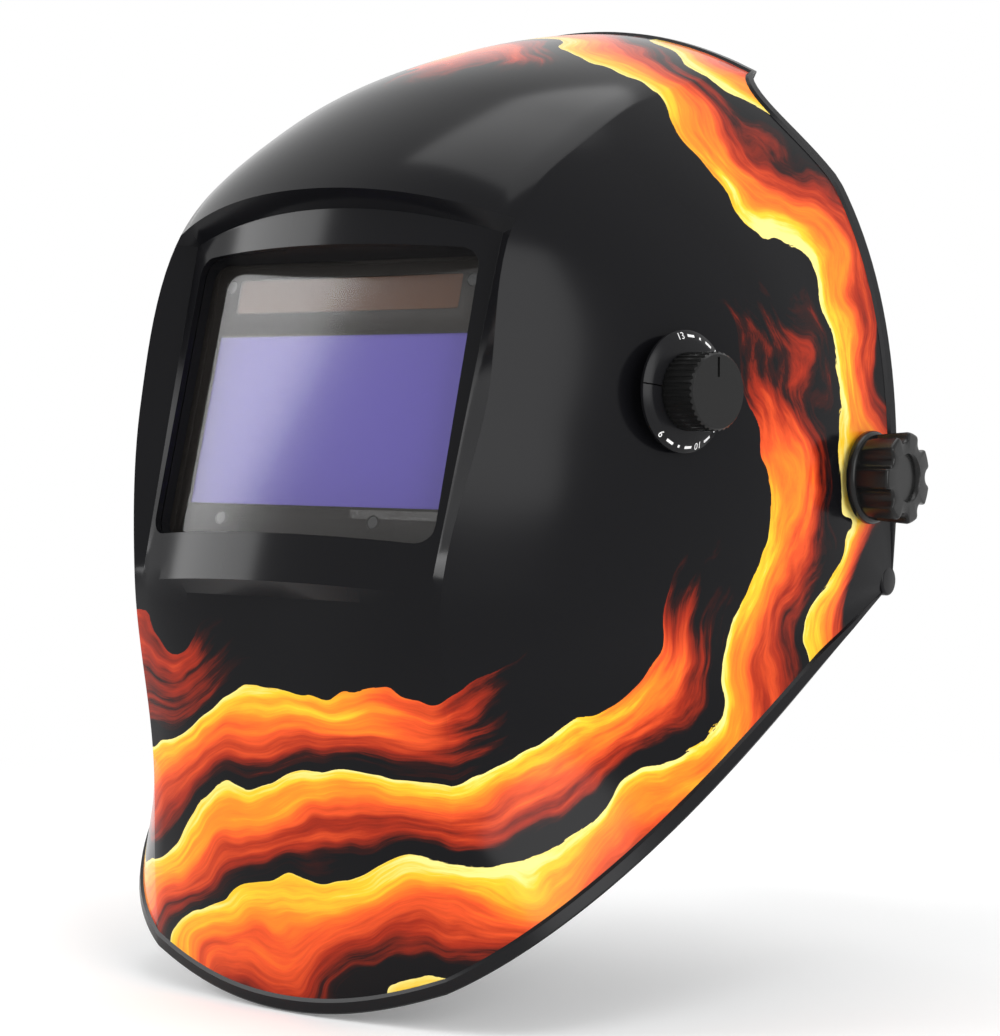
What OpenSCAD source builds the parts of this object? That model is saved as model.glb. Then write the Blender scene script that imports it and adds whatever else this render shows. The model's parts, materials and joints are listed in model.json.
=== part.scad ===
// Auto-darkening welding helmet: shell, filter window, outside shade control and ratchet headgear.
// Origin: middle of the tilt axis. -Y is the front, +X the wearer's left, +Z up. Millimetres.

/* [Shell] */
// Half width of the shell at its rear lower tabs
shell_half_w = 117.5; // [112:0.5:124]
// Wall thickness of the shell
shell_wall = 2.4; // [1.8:0.1:3.2]
// Distance of the tab corners behind the tilt axis
tab_back = 22; // [18:1:26]
// Distance of the tab corners below the tilt axis
tab_drop = 36; // [32:1:40]
// Reach from the tab line to the middle of the chin rim
chin_reach = 217; // [208:1:226]
// Reach from the tab line to the middle of the jaw
jaw_reach = 188; // [182:1:194]
// Reach from the tab line to the chin just under the window lip
under_lip_reach = 181; // [178:0.5:183]
// Reach from the tab line to the middle of the brow edge
brow_reach = 206; // [202:1:212]
// Reach from the tab line to the forehead
forehead_reach = 199; // [195:1:206]
// Reach from the tab line to the crown
crown_reach = 192; // [187:1:200]
// Reach from the tab line to the middle of the rear rim
rear_reach = 191; // [186:1:199]
// Fan angle of the rear rim above the forward direction
rear_angle = 86; // [82:0.5:90]
// Fan angle of the chin rim at its middle
chin_angle = -36; // [-39:0.1:-34]
// Rise of the lower rim, in fan angle, from the chin to the sides
side_rise = 4.5; // [3:0.1:6]
// Depth of the notch in the rear rim, in fan angle
notch_angle = 4; // [0:0.5:5]
// Width of the rolled bead along the rim
bead_w = 3.6; // [2.5:0.1:5]
// Height of the bead over the shell
bead_h = 0.9; // [0.4:0.1:1.4]

/* [Window] */
// Backward lean of the window
window_lean = 15.5; // [12:0.5:18]
// Distance of the filter's front face ahead of the tilt axis, at the window's middle
window_ahead = 131.5; // [129:0.5:134]
// Height of the window's middle above the tilt axis
window_up = 24.3; // [22:0.1:27]
// Width of the window opening
opening_w = 113; // [108:0.5:114]
// Height of the window opening
opening_h = 92; // [86:0.5:93]
// Corner radius of the window opening
opening_r = 6; // [3:0.5:10]
// Distance from the filter's front face to the middle of the bulged face panel
panel_ahead = 18.3; // [17:0.1:20]
// Bulge radius of the face panel
panel_r = 172; // [160:1:190]

/* [Filter cartridge] */
// Width of the cartridge
cartridge_w = 110; // [106:0.5:110.5]
// Height of the cartridge
cartridge_h = 90; // [86:0.5:90.5]
// Thickness of the cartridge
cartridge_t = 9; // [7:0.5:11]
// Width of the viewing area
view_w = 98; // [88:1:100]
// Height of the viewing area
view_h = 53; // [44:1:54]
// Distance of the viewing area's middle below the cartridge's middle
view_down = 5.5; // [4:0.5:8]
// Width of the solar strip
solar_w = 90; // [70:1:96]
// Height of the solar strip
solar_h = 11; // [8:0.5:12]
// Thickness of the clear cover plates
plate_t = 1; // [0.8:0.1:1.5]
// Outside diameter of the two setting knobs behind the cartridge
setting_knob_d = 13; // [10:0.5:15]

/* [Shade control] */
// Height of the shade control above the tilt axis
shade_up = 27.8; // [26:0.2:30]
// Distance of the shade control ahead of the tilt axis
shade_ahead = 86.2; // [84:0.2:88]
// Forward turn of the shade control's axis
shade_turn = 11; // [8:0.5:14]
// Outside diameter of the dial
dial_d = 37.5; // [34:0.5:41]
// Diameter of the shade knob
shade_knob_d = 24; // [20:0.5:28]
// Height of the shade knob above the dial
shade_knob_h = 12; // [10:0.5:16]
// Number of ribs round the shade knob
shade_ribs = 36; // [24:1:44]

/* [Tilt pivots] */
// Diameter of the pivot bolts
bolt_d = 8; // [6:0.5:10]
// Diameter of the tension knobs
tension_knob_d = 30.6; // [28:0.2:33]
// Height of the tension knobs' star
star_h = 12; // [10:0.5:16]
// Number of lobes of the tension knobs
star_lobes = 7; // [5:1:9]
// Forward travel of the shell on the headgear
reach_travel = 12; // [8:1:14]
// Thickness of the pivot washers
washer_t = 1.5; // [1:0.1:2]

/* [Headgear] */
// Half length of the head band inside
head_half_l = 93; // [90:0.5:96]
// Half width of the head band inside
head_half_w = 79; // [77:0.5:81]
// Radius of the head band's front and rear bends
end_r = 70; // [67:0.5:73]
// Height of the head band
band_h = 26; // [22:0.5:30]
// Thickness of the head band
band_t = 2.2; // [1.6:0.1:2.6]
// Thickness of the crown and nape straps
strap_t = 1.8; // [1.4:0.1:2.2]
// Width of the crown straps
crown_strap_w = 18; // [14:0.5:22]
// Width of the nape straps
nape_strap_w = 20; // [18:0.5:22]
// Thickness of the brow pad
brow_pad_t = 9; // [6:0.5:11]
// Thickness of the nape pad
nape_pad_t = 8; // [6:0.5:10]
// Diameter of the ratchet knob
ratchet_knob_d = 44; // [38:1:48]
// Height of the ratchet knob
ratchet_knob_h = 12; // [9:0.5:14]

/* [Clearances] */
// Gap between pieces that move on each other
run_gap = 0.3; // [0.3:0.05:0.4]
// Gap between pieces that are fixed together
fit_gap = 0.2; // [0.1:0.05:0.3]

/* [Hidden] */
smooth = 96;
small = 48;

// Shell stations, fanned about the tab line from the chin rim up to the rear rim. Each row holds the
// fan angle, front reach, ridge half span, ridge reach, side angle, front angle, ridge pull, tab pull
// and bulge.
lip_angle = 1.5;
brow_angle = 38;
stations = [
    [chin_angle, chin_reach, 58, chin_reach - 9, 22, 16, 0.32, 0.34, -10],
    [-18, jaw_reach, 60.5, jaw_reach - 9, 48, 22, 0.27, 0.31, -5.4],
    [lip_angle, under_lip_reach, 62, 177, 52, 18, 0.31, 0.33, -1.2],
    [20, 196, 70, 176, 57, 25, 0.36, 0.36, 1.2],
    [brow_angle, brow_reach, 68, brow_reach - 18.2, 54, 30, 0.39, 0.38, 2.5],
    [54, forehead_reach, 69.5, forehead_reach - 18, 50, 29, 0.4, 0.36, 3.3],
    [70, crown_reach, 70.5, crown_reach - 17.6, 46, 29, 0.4, 0.33, 3.8],
    [rear_angle, rear_reach, 71, rear_reach - 18.3, 41, 28, 0.42, 0.3, 4.2]
];
REACH = 1;
RIDGE_X = 2;
RIDGE_REACH = 3;
SIDE_ANGLE = 4;
FRONT_ANGLE = 5;
RIDGE_PULL = 6;
TAB_PULL = 7;
BULGE = 8;
lip_station = 2;
brow_station = 4;
last_station = len(stations) - 1;
// Share of the ridge span that the front curve's handles take
front_pull = 0.36;
// Fan angle between a step's two edges, at the brow and at the lip
step_angle = 1.2;
// Share of the side curve that is used: it stops short of the tab line
side_end = 0.99;
// Crowding of the columns towards the ridge
crowding = 1.4;
// Share of the front columns that the face panel takes
panel_share = 0.9;
front_cols = 6;
side_cols = 13;
ridge_col = front_cols + 1;
half_cols = ridge_col + side_cols;
chin_rows = 7;
panel_rows = 6;
dome_rows = 9;

// Face panel, in the window's own frame
panel_low_half_w = 58;
panel_top_half_w = 62;
panel_low = -61;
panel_top = 57.8;
panel_arch = 6.3;

// Window stack, along the window's normal from the filter's front face
glass_sink = 1;
cover_front = glass_sink + plate_t;
cover_lap = 1.7;
cover_w = opening_w + 2 * cover_lap;
cover_h = opening_h + 2 * cover_lap;
tub_wall = 1.4;
tub_back = 12;
frame_back = 8;
sensor_d = 4;
sensor_edge = 6;
sensor_right = 36;
sensor_left = 26;
sensor_side = cartridge_w / 2 - sensor_edge;
sensor_top = cartridge_h / 2 - sensor_edge;
sensor_low = sensor_edge + 1 - cartridge_h / 2;
glass_t = 3;
solar_v = 35.5;
solar_n = -0.4;
clip_r = 1.2;
clip_v = -42.5;
clip_n = -frame_back - clip_r - 0.1;
clip_half = cover_w / 2 + fit_gap + tub_wall - 0.3;
clip_loop_r = 5;
setting_x = 25;
setting_v = 32.5;
setting_knob_h = 5.5;
setting_shaft_r = 2.2;
setting_shaft_l = 4;
nut_recess = 3.2;

// Pivot stack, along X from the shell's side inwards to the headgear arm and outwards to the knob
pivot_sink = 3.5;
pivot_proud = 0.9;
pivot_fan = atan2(tab_drop, tab_back);
pivot_reach = norm([tab_drop, tab_back]);
pivot_side_x = side_point(pivot_fan, side_place(pivot_fan, pivot_reach))[0];
stop_t = 3.1;
collar_t = 3.8;
arm_t = 3;
head_t = 3;
pivot_in_x = pivot_side_x - pivot_sink;
stop_x = pivot_in_x - stop_t;
friction_x = stop_x - run_gap - washer_t;
collar_x = friction_x - collar_t;
arm_x = collar_x - run_gap - arm_t;
pivot_out_x = pivot_side_x + pivot_proud;
pivot_boss_r = 14;
outer_washer_x = pivot_out_x + run_gap;
knob_x = outer_washer_x;
flange_t = 3.2;
knob_cap = 3.2;
star_x = knob_x + flange_t;
bolt_end_x = star_x + star_h - knob_cap - run_gap;
bolt_r = bolt_d / 2;
neck = bolt_d + 4;
washer_r = 10;

// Shade control: a point of the shell's side, and what stacks outwards from it
shade_proud = 0.56;
shade_fan = atan2(shade_up + tab_drop, shade_ahead + tab_back);
shade_reach = norm([shade_up + tab_drop, shade_ahead + tab_back]);
shade_x = side_point(shade_fan, side_place(shade_fan, shade_reach))[0] + shade_proud;
boss_up = 2;
boss_down = 5;
dial_t = 2.2;
dial_up = boss_up + dial_t;
shade_knob_up = dial_up + run_gap;
bushing_r = 4.5;
bushing_up = dial_up + 2.6;
nut_t = 2.2;
nut_r = 7;
pot_r = 8.5;
pot_t = 9;
shaft_r = 3;

// Headgear oval of four arcs, in the plane of the tilted band
band_back = 8;
band_up = 27.5;
band_tilt = 17;
end_centre = head_half_l - end_r;
side_r = (head_half_w ^ 2 + end_centre ^ 2 - end_r ^ 2) / (2 * (head_half_w - end_r));
side_centre = side_r - head_half_w;
join_angle = atan2(end_centre, side_centre);
band_end_angle = 16;
strap_start_angle = 9;
strap_past = 22;
// Outward steps of the layers that lie round the band
left_grow = band_t + run_gap;
right_grow = left_grow + strap_t + run_gap;
cover_grow = right_grow + strap_t + run_gap;
cover_t = 2.5;
ratchet_h = 36;
ratchet_half_angle = 29;
ratchet_rim = 2.5;
slot_h = 14;
rack_pitch = 4;
seat_up = cover_grow + cover_t + 1;
pinion_r = slot_h / 2 - 1 - run_gap;
pinion_shaft_r = 4;
rivet_r = 2;
rivet_head_r = 3.4;
rivet_head_t = 1.2;
rivet_gap = 0.15;
arm_base_t = 2.5;
arm_base_h = 10;
arm_base_front = 13;
arm_base_rear = 7.5;
arm_base_low = 15;
arm_base_high = 27;
strap_lean = 3;
strap_up = 30;
foot_angle = 1.3;
arch_drop = 0.35;
left_crown_grow = left_grow + 0.6;
right_crown_grow = left_crown_grow + strap_t + run_gap;
peg_r = 2;
hole_pitch = 5;
overlap_angle = 25;
pad_gap = 0.2;

black = "#1b1b1d";
grey = "#4a4a4d";

// Cubic through the stations' values in one column, from the first station to the last one named
function station_gap(i) = stations[i + 1][0] - stations[i][0];
function chord(col, i) = (stations[i + 1][col] - stations[i][col]) / station_gap(i);
function slope(col, i, first, last) =
    i == first ? chord(col, i) :
    i == last ? chord(col, i - 1) :
    (chord(col, i - 1) * station_gap(i) + chord(col, i) * station_gap(i - 1))
    / (station_gap(i - 1) + station_gap(i));
function station_below(a, i, last) = i >= last - 1 || a <= stations[i + 1][0] ? i : station_below(a, i + 1, last);
function track(col, a, first = 0, last = last_station) =
    let (i = station_below(a, first, last), h = station_gap(i), t = (a - stations[i][0]) / h)
    (2 * t ^ 3 - 3 * t ^ 2 + 1) * stations[i][col] + (t ^ 3 - 2 * t ^ 2 + t) * h * slope(col, i, first, last)
    + (3 * t ^ 2 - 2 * t ^ 3) * stations[i + 1][col] + (t ^ 3 - t ^ 2) * h * slope(col, i + 1, first, last);
function bezier(p, t) =
    (1 - t) ^ 3 * p[0] + 3 * t * (1 - t) ^ 2 * p[1] + 3 * t ^ 2 * (1 - t) * p[2] + t ^ 3 * p[3];
function mix(a, b, t) = a + (b - a) * t;

// One rib of the shell in its fan plane, as [half span, reach]: front from middle to ridge, then side
function front_point(a, t) =
    let (
        reach = a < lip_angle + step_angle
            ? track(REACH, a, 0, lip_station) : track(REACH, a, brow_station, last_station),
        x = track(RIDGE_X, a),
        r = track(RIDGE_REACH, a),
        turn = track(FRONT_ANGLE, a),
        pull = front_pull * x
    )
    bezier([[0, reach], [pull, reach], [x - pull * cos(turn), r + pull * sin(turn)], [x, r]], t);
function side_point(a, t) =
    let (
        x = track(RIDGE_X, a),
        r = track(RIDGE_REACH, a),
        turn = track(SIDE_ANGLE, a),
        span = norm([shell_half_w - x, r]),
        pull = track(RIDGE_PULL, a) * span,
        tab_handle = [shell_half_w + track(BULGE, a), track(TAB_PULL, a) * span]
    )
    bezier([[x, r], [x + pull * cos(turn), r - pull * sin(turn)], tab_handle, [shell_half_w, 0]], t);
// Share along the side at which a rib has come back to a reach
function side_place(a, reach, low = 0, high = 1, tries = 24) =
    let (middle = (low + high) / 2)
    tries == 0 ? middle :
    side_point(a, middle)[1] > reach ? side_place(a, reach, middle, high, tries - 1) :
    side_place(a, reach, low, middle, tries - 1);
function side_share(j) = ((j - ridge_col) / side_cols) ^ crowding;
function front_share(j) = j == ridge_col ? 1 : panel_share * j / front_cols;
function rib(a, j) = j <= ridge_col ? front_point(a, front_share(j)) : side_point(a, side_end * side_share(j));
function fan(a, q) = [q[0], tab_back - q[1] * cos(a), q[1] * sin(a) - tab_drop];

// Fan angles of the two rims, column by column
function chin_share(j) = j <= ridge_col ? 1 - 0.35 * front_share(j) ^ 2 : 0.65 * (1 - side_share(j)) ^ 4;
function chin_rim(j) = chin_angle + side_rise * (1 - chin_share(j));
notch_end = 0.24;
function notch_share(j) = j <= ridge_col || side_share(j) > notch_end ? 0 : sin(180 * (side_share(j) / notch_end) ^ 0.6);
function rear_rim(j) = rear_angle - notch_angle * notch_share(j);
function rim_turn(a, j, width) = min(1.2 * width, width / rib(a, j)[1] * 180 / PI);

// Window frame: x across, y up the lean, z out along the normal
function from_window(p) = [
    p[0],
    p[1] * sin(window_lean) - p[2] * cos(window_lean) - window_ahead,
    p[1] * cos(window_lean) + p[2] * sin(window_lean) + window_up
];
function panel_depth(x) = panel_ahead - panel_r + sqrt(panel_r ^ 2 - x ^ 2);
function panel_point(s, u) =
    let (x = u * mix(panel_low_half_w, panel_top_half_w, s))
    from_window([x, mix(panel_low, panel_top - panel_arch * u ^ 2, s), panel_depth(x)]);

// Rows of the shell: zone, share of the zone, width in from the rim, lift of the bead
CHIN = 0;
PANEL = 1;
DOME = 2;
bead_fall = 0.9;
rows = concat(
    [[CHIN, 0, 0, bead_h], [CHIN, 0, bead_w, bead_h], [CHIN, 0, bead_w + bead_fall, 0]],
    [for (i = [1:chin_rows]) [CHIN, i / chin_rows, 0, 0]],
    [for (i = [0:panel_rows]) [PANEL, i / panel_rows, 0, 0]],
    [for (i = [0:dome_rows - 1]) [DOME, i / dome_rows, 0, 0]],
    [[DOME, 1, bead_w + bead_fall, 0], [DOME, 1, bead_w, bead_h], [DOME, 1, 0, bead_h]]
);
function row_angle(row, j) =
    row[0] == CHIN ? mix(chin_rim(j), lip_angle - step_angle, row[1]) + rim_turn(chin_rim(j), j, row[2]) :
    row[0] == PANEL ? mix(lip_angle, brow_angle - step_angle, row[1]) :
    mix(brow_angle, rear_rim(j), row[1]) - rim_turn(rear_rim(j), j, row[2]);
function shell_point(row, j) =
    row[0] == PANEL && j <= front_cols
        ? panel_point(row[1], j / front_cols)
        : let (a = row_angle(row, j)) fan(a, rib(a, j));
half_net = [for (row = rows) [for (j = [0:half_cols]) shell_point(row, j)]];
last_row = len(rows) - 1;
last_col = 2 * half_cols;
net = [for (r = half_net) [for (k = [-half_cols:half_cols]) let (p = r[abs(k)]) [sign(k) * p[0], p[1], p[2]]]];

// Outward direction at a net point, from the faces round it
function unit(v) = v / norm(v);
function face_normal(i, k) = unit(cross(net[i][k + 1] - net[i + 1][k], net[i + 1][k + 1] - net[i][k]));
function sum_normals(i, k) =
    let (list = [
        for (di = [-1, 0], dk = [-1, 0])
            if (i + di >= 0 && i + di < last_row && k + dk >= 0 && k + dk < last_col)
                face_normal(i + di, k + dk)
    ])
    [for (axis = [0:2]) [for (n = list) n[axis]] * [for (n = list) 1]];

module shell_skin() {
    width = last_col + 1;
    count = (last_row + 1) * width;
    normals = [for (i = [0:last_row]) [for (k = [0:last_col]) unit(sum_normals(i, k))]];
    outer = [for (i = [0:last_row], k = [0:last_col]) net[i][k] + rows[i][3] * normals[i][k]];
    inner = [for (i = [0:last_row], k = [0:last_col]) net[i][k] - shell_wall * normals[i][k]];
    function at(i, k) = i * width + k;
    skin = [
        for (i = [0:last_row - 1], k = [0:last_col - 1])
            each [[at(i, k), at(i + 1, k), at(i + 1, k + 1)], [at(i, k), at(i + 1, k + 1), at(i, k + 1)]]
    ];
    rim = concat(
        [for (k = [0:last_col - 1]) [at(0, k), at(0, k + 1)]],
        [for (i = [0:last_row - 1]) [at(i, last_col), at(i + 1, last_col)]],
        [for (k = [last_col:-1:1]) [at(last_row, k), at(last_row, k - 1)]],
        [for (i = [last_row:-1:1]) [at(i, 0), at(i - 1, 0)]]
    );
    polyhedron(
        points = concat(outer, inner),
        faces = concat(
            skin,
            [for (f = skin) [f[2] + count, f[1] + count, f[0] + count]],
            [for (e = rim) each [[e[0], e[1], e[1] + count], [e[0], e[1] + count, e[0] + count]]]
        )
    );
}

// Frames of the parts that stand at an angle
module in_window() translate([0, -window_ahead, window_up]) rotate([90 - window_lean, 0, 0]) children();
module in_shade() translate([shade_x, -shade_ahead, shade_up]) rotate([0, 0, -shade_turn]) rotate([0, 90, 0]) children();
module in_band() translate([0, band_back, band_up]) rotate([-band_tilt, 0, 0]) children();
module on_side(side) mirror([side < 0 ? 1 : 0, 0, 0]) children();
module rod_x(r, from, to) translate([from, 0, 0]) rotate([0, 90, 0]) cylinder(r = r, h = to - from, $fn = small);
module ring_x(r_in, r_out, from, to) {
    difference() {
        rod_x(r_out, from, to);
        rod_x(r_in, from - 1, to + 1);
    }
}

module rounded(w, h, r) {
    square([w - 2 * r, h], center = true);
    square([w, h - 2 * r], center = true);
    for (sx = [-1, 1], sy = [-1, 1])
        translate([sx * (w / 2 - r), sy * (h / 2 - r)]) circle(r = r, $fn = small);
}
module slab(w, h, r, from, to) translate([0, 0, from]) linear_extrude(to - from) rounded(w, h, r);

// Shell: the lofted skin with tabs, pivot bosses and the shade control's seat
module shell() color(black) difference() {
    union() {
        shell_skin();
        for (side = [-1, 1])
            on_side(side) rod_x(pivot_boss_r, pivot_in_x, pivot_in_x + 2.7);
        in_shade() translate([0, 0, -boss_down]) cylinder(r = dial_d / 2 - 0.5, h = boss_down + boss_up, $fn = smooth);
    }
    in_window() slab(opening_w, opening_h, opening_r, 3, 40);
    for (side = [-1, 1])
        on_side(side) rod_x(bolt_r + run_gap, pivot_in_x - 1, pivot_out_x + 1);
    in_shade() translate([0, 0, -boss_down - 3]) cylinder(r = bushing_r + fit_gap, h = 30, $fn = small);
    in_shade() translate([0, 0, boss_up]) cylinder(r = dial_d / 2 + 2 * fit_gap, h = 20, $fn = smooth);
}

// Window stack
module window_tub() color(black) in_window() difference() {
    intersection() {
        slab(cover_w + 2 * (tub_wall + fit_gap), cover_h + 2 * (tub_wall + fit_gap), opening_r + 2, -tub_back, 20);
        translate([0, 0, panel_ahead - panel_r])
            rotate([90, 0, 0])
                cylinder(r = panel_r - shell_wall - 2 * fit_gap, h = 200, center = true, $fn = smooth);
    }
    slab(cover_w + 2 * fit_gap, cover_h + 2 * fit_gap, opening_r + 1, -tub_back - 1, cover_front);
    slab(opening_w, opening_h, opening_r, 0, 30);
    translate([0, clip_v, clip_n]) rod_x(clip_r + fit_gap, -70, 70);
}
module front_cover_plate() color("#cfd6dc", 0.35) in_window()
    slab(cover_w, cover_h, opening_r + 0.8, glass_sink, cover_front);
module cartridge_frame() color(grey) in_window() difference() {
    slab(cover_w, cover_h, opening_r + 0.8, -frame_back, glass_sink);
    slab(cartridge_w + 2 * fit_gap, cartridge_h + 2 * fit_gap, 3, -frame_back - 1, glass_sink + 1);
}
module at_view() translate([0, -view_down, 0]) children();
module at_sensors() {
    for (p = [
        [-sensor_right, sensor_low], [sensor_left, sensor_low], [-sensor_side, sensor_top], [sensor_side, sensor_top]
    ])
        translate([p[0], p[1], 0]) children();
}
module cartridge_body() color(black) in_window() difference() {
    slab(cartridge_w, cartridge_h, 2.8, glass_sink - cartridge_t, glass_sink);
    at_view() {
        slab(view_w + 2 * fit_gap, view_h + 2 * fit_gap, 3, -glass_t, glass_sink + 1);
        slab(view_w - 6, view_h - 6, 3, -cartridge_t - 1, 1);
    }
    translate([0, solar_v, 0]) slab(solar_w + 2 * fit_gap, solar_h + 2 * fit_gap, 1, solar_n, glass_sink + 1);
    at_sensors() translate([0, 0, solar_n]) cylinder(d = sensor_d + 2 * fit_gap, h = 5, $fn = small);
    for (sx = [-1, 1])
        translate([sx * setting_x, setting_v, glass_sink - cartridge_t - 1])
            cylinder(r = setting_shaft_r + run_gap, h = setting_shaft_l + 1 + run_gap, $fn = small);
}
module filter_glass() color("#3a3f8f") in_window() at_view() slab(view_w, view_h, 2.8, -glass_t, 0);
module solar_strip() color("#3b2a22") in_window() translate([0, solar_v, 0]) slab(solar_w, solar_h, 0.8, solar_n, 0.8);
module arc_sensors() color("#7a1f2a") in_window() at_sensors()
    translate([0, 0, solar_n]) cylinder(d = sensor_d, h = 0.8 - solar_n, $fn = small);
module rear_cover_plate() color("#cfd6dc", 0.35) in_window() at_view()
    slab(view_w + 4, view_h + 6, 3, glass_sink - cartridge_t - plate_t, glass_sink - cartridge_t);
module frame_clip() color("#9a9da0") in_window() translate([0, clip_v, clip_n]) {
    rod_x(clip_r, -clip_half, clip_half);
    rotate_extrude(angle = 180, $fn = small) translate([clip_loop_r, 0]) circle(r = clip_r, $fn = 24);
}
module setting_knob(sx) color(grey) in_window() translate([sx * setting_x, setting_v, glass_sink - cartridge_t - run_gap])
    mirror([0, 0, 1]) difference() {
        union() {
            linear_extrude(setting_knob_h) fluted(setting_knob_d / 2, 12, 0.9);
            translate([0, 0, -setting_shaft_l]) cylinder(r = setting_shaft_r, h = setting_shaft_l + 1, $fn = small);
        }
        translate([0, setting_knob_d / 4 + 0.6, setting_knob_h - 0.6]) cube([1, setting_knob_d / 2 - 2, 2], center = true);
    }
module sensitivity_knob() setting_knob(-1);
module delay_knob() setting_knob(1);

// Round grip with flutes cut round its edge
module fluted(r, count, flute_r) {
    difference() {
        circle(r = r, $fn = smooth);
        for (i = [0:count - 1])
            rotate(i * 360 / count) translate([r + flute_r * 0.4, 0]) circle(r = flute_r, $fn = 16);
    }
}

// Shade control on the shell's left side
module shade_dial() color(black) in_shade() difference() {
    rotate_extrude($fn = smooth) polygon([
        [bushing_r + fit_gap, boss_up], [dial_d / 2, boss_up], [dial_d / 2, boss_up + 1],
        [dial_d / 2 - 3.2, dial_up], [bushing_r + fit_gap, dial_up]
    ]);
    rotate([0, 0, 262]) translate([dial_d / 2 - 3, -0.25, boss_up + 1.2]) cube([6, 0.5, 5]);
}
module shade_nut() color("#b9bcc0") in_shade() difference() {
    translate([0, 0, dial_up]) cylinder(r = nut_r, h = nut_t, $fn = 6);
    cylinder(r = bushing_r + fit_gap, h = 20, $fn = small);
}
module shade_potentiometer() color(grey) in_shade() difference() {
    union() {
        translate([0, 0, -boss_down - pot_t]) cylinder(r = pot_r, h = pot_t, $fn = small);
        translate([0, 0, -boss_down - 1]) cylinder(r = bushing_r, h = bushing_up + boss_down + 1, $fn = small);
        translate([pot_r - 1, -6, -boss_down - pot_t + 2]) cube([5, 12, 1.6]);
    }
    translate([0, 0, -boss_down - pot_t + 2]) cylinder(r = shaft_r + run_gap, h = 40, $fn = small);
}
module shade_knob() color(black) in_shade() difference() {
    union() {
        difference() {
            translate([0, 0, shade_knob_up]) linear_extrude(shade_knob_h) fluted(shade_knob_d / 2, shade_ribs, 0.7);
            translate([0, 0, shade_knob_up - 1]) cylinder(r = nut_r + 1, h = 1 + nut_recess, $fn = small);
            rotate_extrude($fn = smooth) polygon([
                [shade_knob_d / 2 - 0.9, shade_knob_up + shade_knob_h + 0.1],
                [shade_knob_d / 2 + 0.1, shade_knob_up + shade_knob_h - 0.9],
                [shade_knob_d / 2 + 1, shade_knob_up + shade_knob_h + 0.1]
            ]);
        }
        translate([0, 0, -boss_down - 4]) cylinder(r = shaft_r, h = boss_down + 4 + shade_knob_up + shade_knob_h - 2, $fn = small);
    }
    translate([-shade_knob_d / 2 + 1.6, -0.5, shade_knob_up + shade_knob_h - 0.6]) cube([6, 1, 2]);
}

// Tilt pivots, drawn on the left and mirrored to the right
module tension_knob(side) color(black) on_side(side) difference() {
    union() {
        translate([knob_x, 0, 0]) rotate([0, 90, 0]) rotate_extrude($fn = smooth) polygon([
            [0, 0], [tension_knob_d / 2 - 0.8, 0], [tension_knob_d / 2, 0.8],
            [tension_knob_d / 2, flange_t - 0.8], [tension_knob_d / 2 - 1.2, flange_t], [0, flange_t]
        ]);
        intersection() {
            translate([star_x, 0, 0]) rotate([90, 0, 90]) linear_extrude(star_h) difference() {
                circle(d = tension_knob_d, $fn = smooth);
                for (i = [0:star_lobes - 1])
                    rotate((i + 0.5) * 360 / star_lobes + 90 - 40) translate([tension_knob_d / 2 + 0.6, 0]) circle(r = 3.6, $fn = small);
            }
            translate([knob_x, 0, 0]) rotate([0, 90, 0]) rotate_extrude($fn = smooth) polygon([
                [0, 0], [tension_knob_d / 2, 0], [tension_knob_d / 2 - 0.5, flange_t + star_h - 2],
                [tension_knob_d / 2 - 2.5, flange_t + star_h], [0, flange_t + star_h]
            ]);
        }
    }
    rod_x(bolt_r + run_gap, knob_x - 1, bolt_end_x + run_gap);
    rod_x(washer_r + run_gap, knob_x - 1, knob_x + washer_t + run_gap);
    rod_x(tension_knob_d / 4, star_x + star_h - 1.6, star_x + star_h + 1);
}
module left_tension_knob() tension_knob(1);
module right_tension_knob() tension_knob(-1);
module outer_washer(side) color("#b9bcc0") on_side(side)
    ring_x(bolt_r + fit_gap, washer_r, outer_washer_x, outer_washer_x + washer_t);
module left_outer_washer() outer_washer(1);
module right_outer_washer() outer_washer(-1);
module stop_disc(side) color(grey) on_side(side) difference() {
    union() {
        rod_x(pivot_boss_r - 1, stop_x, pivot_in_x);
        translate([stop_x, -3, 0]) cube([stop_t, 6, pivot_boss_r + 4]);
    }
    rod_x(bolt_r + run_gap, stop_x - 1, pivot_in_x + 1);
}
module left_stop_disc() stop_disc(1);
module right_stop_disc() stop_disc(-1);
module friction_washer(side) color("#2e2e30") on_side(side)
    ring_x(bolt_r + fit_gap, washer_r, friction_x, friction_x + washer_t);
module left_friction_washer() friction_washer(1);
module right_friction_washer() friction_washer(-1);
module pivot_bolt(side) color("#b9bcc0") on_side(side) {
    rod_x(washer_r, arm_x - run_gap - head_t, arm_x - run_gap);
    rod_x(bolt_r, arm_x - run_gap - 1, bolt_end_x);
}
module left_pivot_bolt() pivot_bolt(1);
module right_pivot_bolt() pivot_bolt(-1);
module slider(side) color(grey) on_side(side) difference() {
    union() {
        translate([arm_x - run_gap, -neck / 2, -neck / 2]) cube([collar_x - arm_x + run_gap + 1, neck, neck]);
        rod_x(washer_r + 2, collar_x, friction_x);
    }
    rod_x(bolt_r + fit_gap, arm_x - 5, friction_x + 1);
}
module left_slider() slider(1);
module right_slider() slider(-1);

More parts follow.
